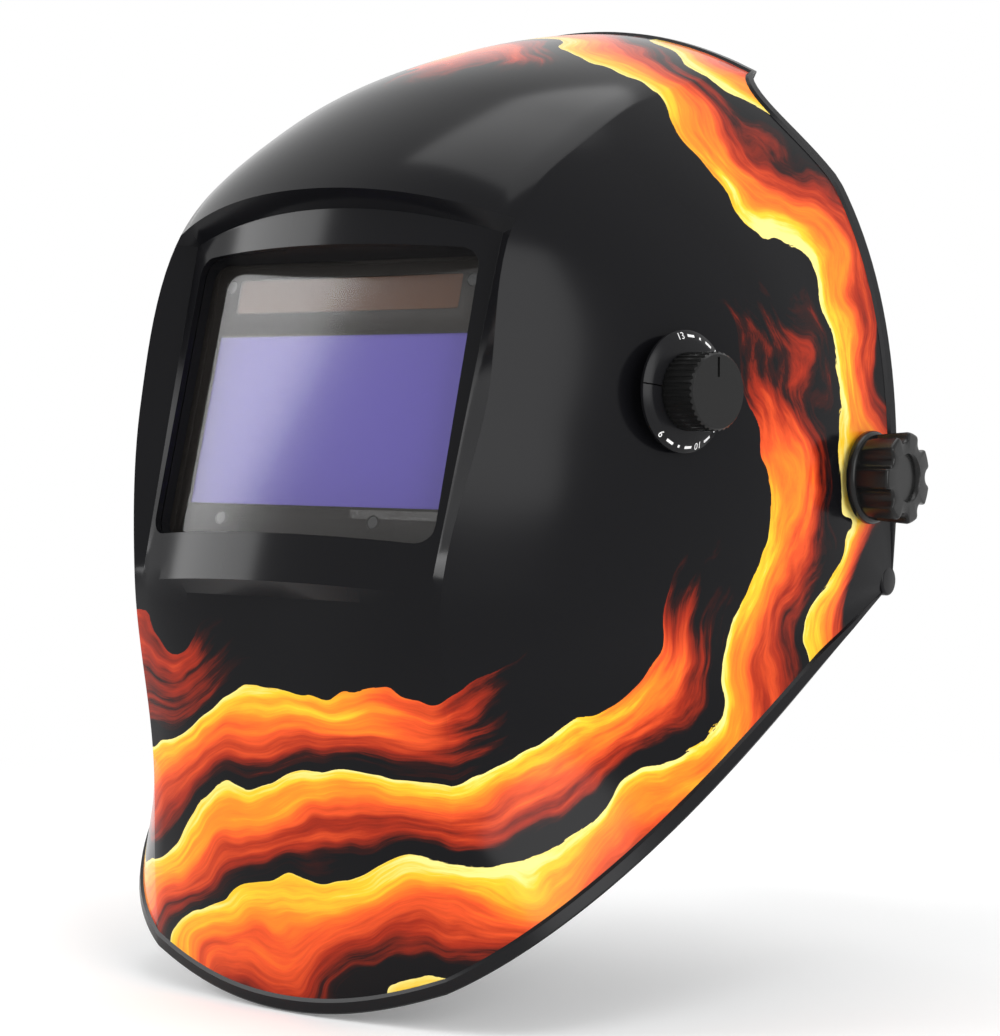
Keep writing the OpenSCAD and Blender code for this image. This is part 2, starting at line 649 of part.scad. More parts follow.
// Headgear arms: a base on the band, a bridge outwards and a hanging plate with the reach slot
module arm(side) color(black) on_side(side) difference() {
    union() {
        translate([arm_x, 0, 0]) rotate([90, 0, 90]) linear_extrude(arm_t) difference() {
            union() {
                translate([-reach_travel, 0]) circle(r = pivot_boss_r, $fn = small);
                translate([6, 0]) circle(r = pivot_boss_r, $fn = small);
                translate([-reach_travel, -pivot_boss_r]) square([reach_travel + 6, 2 * pivot_boss_r]);
                translate([0, 0]) square([20, arm_base_high - 4]);
                translate([4, arm_base_high - 5]) square([12, 9]);
                for (y = [4, 16])
                    translate([y, arm_base_high]) circle(r = 4, $fn = small);
            }
            translate([-reach_travel - neck / 2 - run_gap, -neck / 2 - run_gap])
                square([reach_travel + neck + 2 * run_gap, neck + 2 * run_gap]);
        }
        translate([0, 0, arm_base_low]) linear_extrude(arm_base_high - arm_base_low) polygon([
            [70, 6], [83, 6], [arm_x, 10], [arm_x + 1, 5], [arm_x + 1, 15], [arm_x, 15], [83, 20], [70, 20]
        ]);
        in_band() translate([0, 0, arm_rivet_up])
            side_arc(band_t + fit_gap, arm_base_t, arm_base_h, -arm_base_front, arm_base_rear);
    }
    in_band() translate([-side_centre, 0, -60]) cylinder(r = side_r + band_t + fit_gap, h = 120, $fn = smooth);
    in_band() side_rivets(rivet_gap);
}
module left_arm() arm(1);
module right_arm() arm(-1);

// Arcs of the head oval, in the band's plane
module arc(r, t, h, from, to) rotate([0, 0, from])
    rotate_extrude(angle = to - from, $fn = smooth) translate([r, -h / 2]) square([t, h]);
module front_arc(grow, t, h, half) translate([0, -end_centre, 0]) arc(end_r + grow, t, h, -90 - half, half - 90);
module side_arc(grow, t, h, from, to) translate([-side_centre, 0, 0]) arc(side_r + grow, t, h, from, to);
module rear_arc(grow, t, h, from, to) translate([0, end_centre, 0]) arc(end_r + grow, t, h, from, to);
module side_rod(angle, up, r, from, to) translate([-side_centre, 0, up]) rotate([0, 0, angle]) rod_x(r, side_r + from, side_r + to);

// Rivets of one side: two through the arm's base, one through the crown strap, one through the nape strap
arm_rivets = [-10.5, -5];
arm_rivet_up = -8.5;
foot_rivet_up = 6.5;
nape_rivet_angle = 12.5;
rivet_reach = 14;
module side_rivets(clear) {
    for (angle = arm_rivets)
        side_rod(angle, arm_rivet_up, rivet_r + clear, -1, rivet_reach);
    side_rod(0, foot_rivet_up, rivet_r + clear, -1, rivet_reach);
    side_rod(nape_rivet_angle, 0, rivet_r + clear, -1, rivet_reach);
}
module rivet(angle, up, layer, grow) {
    side_rod(angle, up, rivet_r, 0, grow);
    side_rod(angle, up, rivet_head_r, grow, grow + rivet_head_t);
    if (layer > left_grow)
        side_rod(angle, up, rivet_head_r, band_t + rivet_gap, layer - rivet_gap);
}
module band_rivets() color("#9a9da0") in_band()
    for (side = [-1, 1])
        on_side(side) {
            nape_grow = side > 0 ? left_grow : right_grow;
            crown_grow = side > 0 ? left_crown_grow : right_crown_grow;
            for (angle = arm_rivets)
                rivet(angle, arm_rivet_up, 0, band_t + fit_gap + arm_base_t + rivet_gap);
            rivet(0, foot_rivet_up, side > 0 ? 0 : crown_grow - arch_drop, crown_grow + strap_t + rivet_gap);
            rivet(nape_rivet_angle, 0, nape_grow, nape_grow + strap_t + rivet_gap);
        }
module head_band() color(black) in_band() difference() {
    union() {
        front_arc(0, band_t, band_h, 90 - join_angle);
        for (side = [-1, 1])
            on_side(side) side_arc(0, band_t, band_h, -join_angle, band_end_angle);
    }
    for (side = [-1, 1])
        on_side(side) side_rivets(rivet_gap);
}

// Crown straps: an arch over the head from each side of the band, pegged together on top
module in_crown() translate([0, band_back, strap_up]) rotate([-strap_lean, 0, 0]) children();
module arch(grow) rotate([90, 0, 0]) rotate([0, 0, -foot_angle])
    rotate_extrude(angle = foot_angle + 90 + overlap_angle, $fn = smooth)
        translate([head_half_w + grow, -crown_strap_w / 2]) square([strap_t, crown_strap_w]);
module crown_peg(angle, r, from, to) rotate([0, -angle, 0]) rod_x(r, head_half_w + from, head_half_w + to);
module left_crown_strap() color(black) {
    difference() {
        in_crown() arch(left_crown_grow);
        in_band() side_rivets(rivet_gap);
    }
    in_crown() for (angle = [90 - hole_pitch, 90 + hole_pitch])
        crown_peg(angle, peg_r, left_crown_grow + 0.5, right_crown_grow + strap_t + 1.5);
}
module right_crown_strap() color(black) difference() {
    in_crown() on_side(-1) arch(right_crown_grow);
    on_side(-1) in_band() side_rivets(rivet_gap);
    in_crown() for (angle = [90 - 4 * hole_pitch:hole_pitch:90 + 4 * hole_pitch])
        crown_peg(angle, peg_r + rivet_gap, left_crown_grow - 2, right_crown_grow + 8);
}

// Nape straps: from the band's ends to the ratchet, with a toothed slot that the pinion stands in
module nape_strap(grow, up) {
    difference() {
        union() {
            side_arc(grow, strap_t, nape_strap_w, strap_start_angle, join_angle);
            rear_arc(grow, strap_t, nape_strap_w, join_angle, 90 + strap_past);
        }
        rear_arc(grow - 1, strap_t + 2, slot_h, 90 - strap_past, 90 + strap_past - 4);
        for (a = [90 - strap_past + rack_pitch:rack_pitch:90 + strap_past - 2 * rack_pitch])
            translate([0, end_centre, up * slot_h / 2]) rotate([0, 0, a])
                rod_x(1, end_r + grow - 2, end_r + grow + strap_t + 2);
        side_rivets(rivet_gap);
    }
}
module left_nape_strap() color(black) in_band() nape_strap(left_grow, 1);
module right_nape_strap() color(black) in_band() on_side(-1) nape_strap(right_grow, -1);

// Ratchet at the nape
module rear_rod(r, from, to) translate([0, head_half_l, 0]) rotate([0, 0, 90]) rod_x(r, from, to);
module ratchet_base() color(black) in_band()
    rear_arc(0, band_t, ratchet_h, 90 - ratchet_half_angle, 90 + ratchet_half_angle);
module ratchet_cover() color(black) in_band() difference() {
    union() {
        rear_arc(cover_grow, cover_t, ratchet_h, 90 - ratchet_half_angle, 90 + ratchet_half_angle);
        for (up = [-1, 1])
            translate([0, 0, up * (ratchet_h - ratchet_rim) / 2])
                rear_arc(
                    band_t + rivet_gap, cover_grow + cover_t - band_t - rivet_gap, ratchet_rim,
                    90 - ratchet_half_angle, 90 + ratchet_half_angle
                );
        difference() {
            rear_rod(ratchet_knob_d / 2 - 6, cover_grow - 4, seat_up);
            translate([0, end_centre, -40]) cylinder(r = end_r + cover_grow + 0.5, h = 80, $fn = smooth);
        }
    }
    rear_rod(pinion_shaft_r + run_gap, -10, 40);
}
module ratchet_pinion() color(grey) in_band() {
    translate([0, head_half_l + left_grow, 0]) rotate([-90, 0, 0])
        linear_extrude(cover_grow - run_gap - left_grow) {
            circle(r = pinion_r - 0.8, $fn = small);
            for (i = [0:9])
                rotate(i * 36) translate([pinion_r - 1, 0]) circle(r = 1, $fn = 24);
        }
    rear_rod(pinion_shaft_r, cover_grow - 1, seat_up + ratchet_knob_h - 3);
}
module ratchet_knob() color(black) in_band() difference() {
    translate([0, head_half_l + seat_up + run_gap, 0]) rotate([-90, 0, 0]) difference() {
        intersection() {
            linear_extrude(ratchet_knob_h) fluted(ratchet_knob_d / 2, 24, 1.6);
            rotate_extrude($fn = smooth) polygon([
                [0, 0], [ratchet_knob_d / 2, 0], [ratchet_knob_d / 2, ratchet_knob_h - 2],
                [ratchet_knob_d / 2 - 2, ratchet_knob_h], [0, ratchet_knob_h]
            ]);
        }
        translate([0, 0, ratchet_knob_h - 1.5]) cylinder(r = ratchet_knob_d / 2 - 6, h = 5, $fn = smooth);
    }
    rear_rod(pinion_shaft_r + fit_gap, 0, seat_up + ratchet_knob_h - 3 + fit_gap);
}

// Pads: a cushion net bent round the band's inner face, crowned across and along, thin at its edge
pad_edge = 1.2;
pad_cols = 28;
pad_rows = 12;
module pad(thick, h, half, middle) {
    seat = end_r - pad_gap;
    width = pad_rows + 1;
    count = (pad_cols + 1) * width;
    function swell(u, v) = sqrt(max(0, 1 - abs(v) ^ 2.5)) * sqrt(max(0, 1 - abs(u) ^ 8));
    function place(u, v, r) =
        let (a = middle + half * u)
        [r * cos(a), r * sin(a), v * h / 2 * (1 - 0.35 * abs(u) ^ 6)];
    steps = [for (i = [0:pad_cols], j = [0:pad_rows]) [sin(90 * (2 * i / pad_cols - 1)), sin(90 * (2 * j / pad_rows - 1))]];
    face = [for (s = steps) place(s[0], s[1], seat - pad_edge - (thick - pad_edge) * swell(s[0], s[1]))];
    back = [for (s = steps) place(s[0], s[1], seat)];
    function at(i, j) = i * width + j;
    skin = [
        for (i = [0:pad_cols - 1], j = [0:pad_rows - 1])
            each [[at(i, j), at(i + 1, j), at(i + 1, j + 1)], [at(i, j), at(i + 1, j + 1), at(i, j + 1)]]
    ];
    edge = concat(
        [for (j = [0:pad_rows - 1]) [at(0, j), at(0, j + 1)]],
        [for (i = [0:pad_cols - 1]) [at(i, pad_rows), at(i + 1, pad_rows)]],
        [for (j = [pad_rows:-1:1]) [at(pad_cols, j), at(pad_cols, j - 1)]],
        [for (i = [pad_cols:-1:1]) [at(i, 0), at(i - 1, 0)]]
    );
    polyhedron(
        points = concat(face, back),
        faces = concat(
            skin,
            [for (f = skin) [f[2] + count, f[1] + count, f[0] + count]],
            [for (e = edge) each [[e[0], e[1], e[1] + count], [e[0], e[1] + count, e[0] + count]]]
        )
    );
}
module brow_pad() color("#2a2a2c") in_band() translate([0, -end_centre, 0]) pad(brow_pad_t, band_h + 4, 38, -90);
module nape_pad() color("#2a2a2c") in_band() translate([0, end_centre, 0]) pad(nape_pad_t, ratchet_h - 2, 20, 90);

shell();
window_tub();
front_cover_plate();
cartridge_frame();
cartridge_body();
filter_glass();
solar_strip();
arc_sensors();
rear_cover_plate();
frame_clip();
sensitivity_knob();
delay_knob();
shade_dial();
shade_knob();
shade_potentiometer();
shade_nut();
left_tension_knob();
right_tension_knob();
left_outer_washer();
right_outer_washer();
left_stop_disc();
right_stop_disc();
left_friction_washer();
right_friction_washer();
left_pivot_bolt();
right_pivot_bolt();
left_slider();
right_slider();
left_arm();
right_arm();
head_band();
brow_pad();
left_crown_strap();
right_crown_strap();
left_nape_strap();
right_nape_strap();
band_rivets();
ratchet_base();
ratchet_cover();
ratchet_pinion();
ratchet_knob();
nape_pad();
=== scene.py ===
# %% [markdown]
# # Dressing a welding helmet
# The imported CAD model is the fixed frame: every node already sits where it belongs, in metres, with the
# origin in the middle of the tilt axis, -Y to the front, +X to the wearer's left and +Z up. This lesson
# gives the helmet its looks. Some nodes keep their CAD mesh and only get softer edges and a finish.
# The shell, the grips and the pads are modelled again, because their surfaces carry the picture.

import json
import math

import bmesh
import bpy
from mathutils import Matrix, Vector

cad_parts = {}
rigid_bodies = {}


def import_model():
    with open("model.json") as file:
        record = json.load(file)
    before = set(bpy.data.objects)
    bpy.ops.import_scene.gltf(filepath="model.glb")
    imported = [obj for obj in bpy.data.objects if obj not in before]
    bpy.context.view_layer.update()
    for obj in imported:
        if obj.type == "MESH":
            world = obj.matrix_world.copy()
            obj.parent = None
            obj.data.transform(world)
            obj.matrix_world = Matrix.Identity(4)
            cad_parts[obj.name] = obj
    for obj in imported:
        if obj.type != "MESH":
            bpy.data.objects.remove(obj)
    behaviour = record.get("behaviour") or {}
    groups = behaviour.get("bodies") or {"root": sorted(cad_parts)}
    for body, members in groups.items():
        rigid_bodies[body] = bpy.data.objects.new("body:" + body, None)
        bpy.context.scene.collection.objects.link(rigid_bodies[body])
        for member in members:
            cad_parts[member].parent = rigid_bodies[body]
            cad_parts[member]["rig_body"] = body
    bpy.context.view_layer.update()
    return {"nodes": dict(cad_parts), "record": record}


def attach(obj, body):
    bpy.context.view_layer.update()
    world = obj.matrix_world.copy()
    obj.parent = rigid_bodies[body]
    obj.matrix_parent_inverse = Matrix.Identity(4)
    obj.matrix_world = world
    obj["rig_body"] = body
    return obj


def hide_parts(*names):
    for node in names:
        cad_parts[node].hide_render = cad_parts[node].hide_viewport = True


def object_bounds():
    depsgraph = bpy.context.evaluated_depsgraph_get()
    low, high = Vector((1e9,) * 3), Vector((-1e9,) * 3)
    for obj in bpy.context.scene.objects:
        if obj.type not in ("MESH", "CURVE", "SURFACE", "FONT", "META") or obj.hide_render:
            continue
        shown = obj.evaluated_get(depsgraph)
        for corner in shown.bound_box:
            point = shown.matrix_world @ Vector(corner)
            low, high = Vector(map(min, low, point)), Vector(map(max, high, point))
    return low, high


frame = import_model()
MM = 0.001
MERGE = 1e-6

# %% [markdown]
# ## The camera
# The photograph looks at the helmet from its left front, a little from above. Its place was solved from
# the window's corners and the rims, so the frame of the picture is 1000 x 1036 with no shift.

# %% Place the camera
PHOTO_H, FOCAL_PX, SENSOR_MM = 1036, 2600, 36
YAW, DOWN = math.radians(36), math.radians(2.5)
CAMERA_AT = Vector((523.4, -760.8, 23.9)) * MM

forward = Vector((-math.sin(YAW) * math.cos(DOWN), math.cos(YAW) * math.cos(DOWN), -math.sin(DOWN)))
right = Vector((math.cos(YAW), math.sin(YAW), 0))
upward = right.cross(forward)
camera_data = bpy.data.cameras.new("photo_camera")
camera_data.sensor_fit = "VERTICAL"
camera_data.sensor_height = SENSOR_MM
camera_data.lens = SENSOR_MM * FOCAL_PX / PHOTO_H
camera_data.clip_start = 0.01
camera = bpy.data.objects.new("photo_camera", camera_data)
facing = Matrix((right, upward, -forward)).transposed().to_4x4()
camera.matrix_world = Matrix.Translation(CAMERA_AT) @ facing
bpy.context.scene.collection.objects.link(camera)
bpy.context.scene.camera = camera
bpy.context.scene.view_settings.view_transform = "Standard"
print("camera lens", round(camera_data.lens, 1), "mm")

# %% [markdown]
# ## Finishes
# Every finish is one Principled shader whose plain numbers sit on its own sockets. A small helper makes
# it, so that each later cell only says what is special: colour, roughness, gloss, clearness. The blacks
# differ in gloss more than in colour, because gloss is what tells plastic, nylon and cloth apart.


# %% A helper for plain finishes
def finish(name, colour, roughness=0.5, metallic=0.0, specular=0.5, alpha=1.0, ior=1.45):
    material = bpy.data.materials.new(name)
    material.use_nodes = True
    sockets = material.node_tree.nodes["Principled BSDF"].inputs
    sockets["Base Color"].default_value = (*colour, 1)
    sockets["Roughness"].default_value = roughness
    sockets["Metallic"].default_value = metallic
    sockets["Specular IOR Level"].default_value = specular
    sockets["Alpha"].default_value = alpha
    sockets["IOR"].default_value = ior
    return material


satin_black = finish("satin black moulding", (0.007, 0.007, 0.008), 0.26, specular=0.17)
inside_black = finish("inner face black", (0.022, 0.022, 0.024), 0.5, specular=0.25)
knob_black = finish("grip black", (0.008, 0.008, 0.008), 0.24, specular=0.26)
strap_black = finish("nylon strap black", (0.03, 0.03, 0.032), 0.45, specular=0.4)
cartridge_grey = finish("cartridge grey", (0.036, 0.032, 0.029), 0.55, specular=0.12)
zinc = finish("zinc-plated steel", (0.62, 0.63, 0.65), 0.3, metallic=1.0)
spring_steel = finish("spring steel", (0.5, 0.5, 0.52), 0.28, metallic=1.0)
friction_grey = finish("friction washer", (0.03, 0.03, 0.03), 0.8)
pad_cloth = finish("knitted cover", (0.03, 0.03, 0.033), 0.9, specular=0.2)
mark_white = finish("white print", (0.8, 0.8, 0.8), 0.5)
sensor_lens = finish("sensor lens", (0.02, 0.02, 0.02), 0.25, specular=0.3)
print("plain finishes:", len(bpy.data.materials))

# %% [markdown]
# ## Softer edges on CAD nodes
# A CAD mesh is loose triangles with knife edges, which catch no light. A copy is merged, shaded smooth
# where faces meet at a shallow angle, and given a narrow bevel along the rest. The copy then replaces
# the node and rides on the same body.


# %% A helper that dresses a CAD node
def body_of(node):
    return frame["nodes"][node]["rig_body"]


def slot_of(node):
    return next(s["material_slot"] for s in frame["record"]["subparts"] if s["node"] == node)


def settle(piece, body, slot, material, *nodes):
    piece.data.materials.clear()
    piece.data.materials.append(material)
    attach(piece, body)
    if nodes:
        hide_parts(*nodes)
    return piece


def smooth_by_angle(bm, degrees):
    limit = math.radians(degrees)
    for face in bm.faces:
        face.smooth = True
    for edge in bm.edges:
        edge.smooth = len(edge.link_faces) == 2 and edge.calc_face_angle(0) < limit


def add_piece(name, bm, degrees=32):
    smooth_by_angle(bm, degrees)
    mesh = bpy.data.meshes.new(name)
    bm.to_mesh(mesh)
    bm.free()
    piece = bpy.data.objects.new(name, mesh)
    bpy.context.scene.collection.objects.link(piece)
    return piece


def add_bevel(piece, width, degrees=32):
    bevel = piece.modifiers.new("edges", "BEVEL")
    bevel.width = width * MM
    bevel.segments = 2
    bevel.limit_method = "ANGLE"
    bevel.angle_limit = math.radians(degrees)
    bevel.harden_normals = False
    return piece


def evaluated_mesh(piece):
    bpy.context.view_layer.update()
    return bpy.data.meshes.new_from_object(piece.evaluated_get(bpy.context.evaluated_depsgraph_get()))


def dress(node, material, bevel=0.3, degrees=32):
    bm = bmesh.new()
    bm.from_mesh(frame["nodes"][node].data)
    bmesh.ops.remove_doubles(bm, verts=bm.verts, dist=MERGE)
    bmesh.ops.dissolve_limit(bm, angle_limit=math.radians(1), verts=bm.verts, edges=bm.edges)
    piece = add_piece("dressed_" + node, bm, degrees)
    if bevel:
        add_bevel(piece, bevel, degrees)
    return settle(piece, body_of(node), slot_of(node), material, node)

# %% [markdown]
# ## A lathe
# Round pieces could be cylinders with cuts, but a profile that is spun about an axis says the whole form in
# a few points. Bmesh has a spin operator for it. A full turn is merged at its seam, and a part turn gets
# its two open ends filled.


# %% A helper that spins a closed profile
def lathe(bm, profile, start=0.0, turn=360.0, steps=96):
    full = turn >= 360
    around = Matrix.Rotation(math.radians(start), 4, "Z")
    verts = [bm.verts.new(around @ Vector((r, 0, z))) for r, z in profile]
    edges = [bm.edges.new((a, b)) for a, b in zip(verts, verts[1:] + verts[:1])]
    bmesh.ops.spin(
        bm, geom=verts + edges, cent=(0, 0, 0), axis=(0, 0, 1), angle=math.radians(turn), steps=steps,
        use_merge=full, use_duplicate=False,
    )
    if not full:
        bmesh.ops.holes_fill(bm, edges=[e for e in bm.edges if e.is_boundary], sides=0)
    bmesh.ops.remove_doubles(bm, verts=bm.verts, dist=1e-5)
    bmesh.ops.recalc_face_normals(bm, faces=bm.faces)


# %% [markdown]
# ## The film print
# The shell is gloss black with a printed film in fire colours. The print here is a set of sweeping
# ribbons that turn about the temple. Polar coordinates about that middle come straight from the Object
# coordinates: the distance makes the ribbons, the angle makes them spiral, and a noise that is stretched
# along the sweep tears each ribbon into strands. The fraction of the phase runs from 0 to 1 across one
# ribbon, so a colour ramp gives it a crisp pale edge and a dark tail.


# %% Helpers for shader maths
def math_node(tree, operation, *values):
    node = tree.nodes.new("ShaderNodeMath")
    node.operation = operation
    for socket, value in zip(node.inputs, values):
        if isinstance(value, (int, float)):
            socket.default_value = value
        else:
            tree.links.new(value, socket)
    return node.outputs[0]


def total(tree, *terms):
    result = terms[0]
    for term in terms[1:]:
        result = math_node(tree, "ADD", result, term)
    return result


def scaled(tree, value, factor):
    return math_node(tree, "MULTIPLY", value, factor)


def ease(tree, value, low, high):
    node = tree.nodes.new("ShaderNodeMapRange")
    node.interpolation_type = "SMOOTHSTEP"
    node.inputs["From Min"].default_value = low
    node.inputs["From Max"].default_value = high
    tree.links.new(value, node.inputs["Value"])
    return node.outputs["Result"]


def noise_node(tree, vector, scale, detail, roughness=0.5):
    node = tree.nodes.new("ShaderNodeTexNoise")
    node.inputs["Scale"].default_value = scale
    node.inputs["Detail"].default_value = detail
    node.inputs["Roughness"].default_value = roughness
    tree.links.new(vector, node.inputs["Vector"])
    return math_node(tree, "SUBTRACT", node.outputs[0], 0.5)


def ramp_node(tree, value, stops):
    node = tree.nodes.new("ShaderNodeValToRGB")
    ramp = node.color_ramp
    while len(ramp.elements) < len(stops):
        ramp.elements.new(1)
    for element, (place, colour) in zip(ramp.elements, stops):
        element.position = place
        element.color = (*colour, 1)
    tree.links.new(value, node.inputs[0])
    return node.outputs[0]


def combine(tree, *values):
    node = tree.nodes.new("ShaderNodeCombineXYZ")
    for socket, value in zip(node.inputs, values):
        tree.links.new(value, socket)
    return node.outputs[0]


def off_from(tree, axes, y, z):
    dy = math_node(tree, "SUBTRACT", axes[1], y)
    dz = math_node(tree, "SUBTRACT", axes[2], z)
    squares = total(tree, math_node(tree, "POWER", dy, 2), math_node(tree, "POWER", dz, 2))
    return dy, dz, math_node(tree, "SQRT", squares)


# %% [markdown]
# The ramp holds the ribbon's colours from its pale edge to the black between ribbons. Two eased terms push
# the ramp to its black end: one round the middle of the sweep and one round the rear tab.

# %% Build the print
SWEEP_Y, SWEEP_Z = -0.13, 0.045
PRINT_TAB_Y, PRINT_TAB_Z = 0.022, -0.036
RIBBONS, TWIST, ACROSS, DRIFT, RIPPLE = 25, 0.9, 9, 3.0, 0.6
STRAND_SWEEP, STRAND_PHASE, STRAND_X = 2.2, 3.2, 7
TEAR_EDGE, TEAR_COLOUR, TEAR_CLEAR = 0.2, 0.62, 0.1
CLEAR_FAR, CLEAR_NEAR, TAB_FAR, TAB_NEAR = 0.115, 0.07, 0.034, 0.014
RIBBON = [
    (0.0, (0.95, 0.8, 0.25)),
    (0.09, (0.92, 0.58, 0.03)),
    (0.24, (0.9, 0.27, 0.02)),
    (0.46, (0.8, 0.09, 0.02)),
    (0.64, (0.36, 0.025, 0.008)),
    (0.8, (0.03, 0.006, 0.005)),
    (0.88, (0.005, 0.005, 0.006)),
]
film = finish("printed film", (0.01, 0.01, 0.01), 0.15, specular=0.13)
tree = film.node_tree
place = tree.nodes.new("ShaderNodeTexCoord").outputs["Object"]
split = tree.nodes.new("ShaderNodeSeparateXYZ")
tree.links.new(place, split.inputs[0])
axes = split.outputs
from_y, from_z, distance = off_from(tree, axes, SWEEP_Y, SWEEP_Z)
tab_off = off_from(tree, axes, PRINT_TAB_Y, PRINT_TAB_Z)[2]
sweep = math_node(tree, "ARCTAN2", from_z, from_y)
drift = noise_node(tree, place, 9, 2)
ripple = noise_node(tree, place, 30, 2)
phase = total(
    tree,
    scaled(tree, distance, RIBBONS),
    scaled(tree, sweep, TWIST),
    scaled(tree, axes[0], ACROSS),
    scaled(tree, drift, DRIFT),
    scaled(tree, ripple, RIPPLE),
)
along = combine(
    tree,
    scaled(tree, sweep, STRAND_SWEEP),
    scaled(tree, phase, STRAND_PHASE),
    scaled(tree, axes[0], STRAND_X),
)
strands = noise_node(tree, along, 1.8, 6, 0.62)
across = math_node(tree, "FRACT", total(tree, phase, scaled(tree, strands, TEAR_EDGE)))
torn_distance = total(tree, distance, scaled(tree, drift, TEAR_CLEAR))
near = ease(tree, torn_distance, CLEAR_FAR, CLEAR_NEAR)
tab_end = ease(tree, tab_off, TAB_FAR, TAB_NEAR)
heat = total(tree, across, scaled(tree, strands, TEAR_COLOUR), near, tab_end)
tree.links.new(ramp_node(tree, heat, RIBBON), tree.nodes["Principled BSDF"].inputs["Base Color"])
print("print nodes:", len(tree.nodes))

# %% [markdown]
# ## The shell
# The real shell is one moulding, bent round the face like a fan: every rib starts at the rear lower tab,
# runs forward over the side, turns at a soft ridge and crosses the front. A grid is laid over that fan.
# Each row of the grid is a fan angle, each column a place along the rib, and a cubic through a few
# stations gives the rib's form. The window's face panel is a cylindrical stretch of the same grid.

# %% Stations of the fan
TAB_Y, TAB_Z, TAB_X = 22, -36, 117.5
LIP, BROW, STEP = 1.5, 38, 1.2
CHIN_RIM, REAR_RIM = -36, 86
ANGLES = [CHIN_RIM, -18, LIP, 20, BROW, 54, 70, REAR_RIM]
REACH = [217, 188, 181, 196, 206, 199, 192, 191]
RIDGE_X = [58, 60.5, 62, 70, 68, 69.5, 70.5, 71]
RIDGE_REACH = [208, 179, 177, 176, 187.8, 181, 174.4, 172.7]
SIDE_TURN = [22, 48, 52, 57, 54, 50, 46, 41]
FRONT_TURN = [16, 22, 18, 25, 30, 29, 29, 28]
RIDGE_PULL = [0.32, 0.27, 0.31, 0.36, 0.39, 0.4, 0.4, 0.42]
TAB_PULL = [0.34, 0.31, 0.33, 0.36, 0.38, 0.36, 0.33, 0.3]
BULGE = [-10, -5.4, -1.2, 1.2, 2.5, 3.3, 3.8, 4.2]
LIP_STATION, BROW_STATION, LAST_STATION = 2, 4, 7
FRONT_PULL = 0.36


def track(values, angle, first=0, last=LAST_STATION):
    i = first
    while i < last - 1 and angle > ANGLES[i + 1]:
        i += 1

    def gap(k):
        return ANGLES[k + 1] - ANGLES[k]

    def chord(k):
        return (values[k + 1] - values[k]) / gap(k)

    def slope(k):
        if k == first:
            return chord(k)
        if k == last:
            return chord(k - 1)
        return (chord(k - 1) * gap(k) + chord(k) * gap(k - 1)) / (gap(k - 1) + gap(k))

    h = gap(i)
    t = (angle - ANGLES[i]) / h
    return (
        (2 * t**3 - 3 * t**2 + 1) * values[i]
        + (t**3 - 2 * t**2 + t) * h * slope(i)
        + (3 * t**2 - 2 * t**3) * values[i + 1]
        + (t**3 - t**2) * h * slope(i + 1)
    )


def bezier(p, t):
    return (1 - t) ** 3 * p[0] + 3 * t * (1 - t) ** 2 * p[1] + 3 * t**2 * (1 - t) * p[2] + t**3 * p[3]


def direction(degrees):
    return Vector((math.cos(math.radians(degrees)), math.sin(math.radians(degrees))))


def front_point(angle, t):
    zone = (0, LIP_STATION) if angle < LIP + STEP else (BROW_STATION, LAST_STATION)
    reach = track(REACH, angle, *zone)
    x, r = track(RIDGE_X, angle), track(RIDGE_REACH, angle)
    pull = FRONT_PULL * x
    turn = direction(track(FRONT_TURN, angle))
    ridge = Vector((x, r))
    ridge_handle = ridge + Vector((-pull * turn.x, pull * turn.y))
    return bezier([Vector((0, reach)), Vector((pull, reach)), ridge_handle, ridge], t)


def side_point(angle, t):
    x, r = track(RIDGE_X, angle), track(RIDGE_REACH, angle)
    span = math.hypot(TAB_X - x, r)
    pull = track(RIDGE_PULL, angle) * span
    turn = direction(track(SIDE_TURN, angle))
    ridge = Vector((x, r))
    tab_handle = Vector((TAB_X + track(BULGE, angle), track(TAB_PULL, angle) * span))
    ridge_handle = ridge + Vector((pull * turn.x, -pull * turn.y))
    return bezier([ridge, ridge_handle, tab_handle, Vector((TAB_X, 0))], t)


print("fan of", len(ANGLES), "stations from", CHIN_RIM, "to", REAR_RIM, "degrees")

# %% [markdown]
# The window has its own leaning frame: across, up the lean and out along the normal. The opening, the
# filter and the face panel are all written in it.

# %% The window's frame and face panel
LEAN = math.radians(15.5)
WINDOW_Y, WINDOW_Z = -131.5, 24.3
PANEL_R, PANEL_AHEAD = 172, 18.3
PANEL_LOW, PANEL_TOP, PANEL_ARCH = -61, 57.8, 6.3
PANEL_LOW_W, PANEL_TOP_W = 58, 62


def from_window(x, up, out):
    return Vector((
        x,
        WINDOW_Y + up * math.sin(LEAN) - out * math.cos(LEAN),
        WINDOW_Z + up * math.cos(LEAN) + out * math.sin(LEAN),
    ))


def mix(a, b, t):
    return a + (b - a) * t


def panel_point(share, across):
    x = across * mix(PANEL_LOW_W, PANEL_TOP_W, share)
    up = mix(PANEL_LOW, PANEL_TOP - PANEL_ARCH * across**2, share)
    return from_window(x, up, PANEL_AHEAD - PANEL_R + math.sqrt(PANEL_R**2 - x**2))

# %% [markdown]
# The grid's columns crowd towards the tab, where the ribs meet. Its rows are a rim bead, the chin, the face
# panel, the dome and a second rim bead. A bead row has a width from the rim and a lift off the surface, so
# that the rim thickens without a second object.


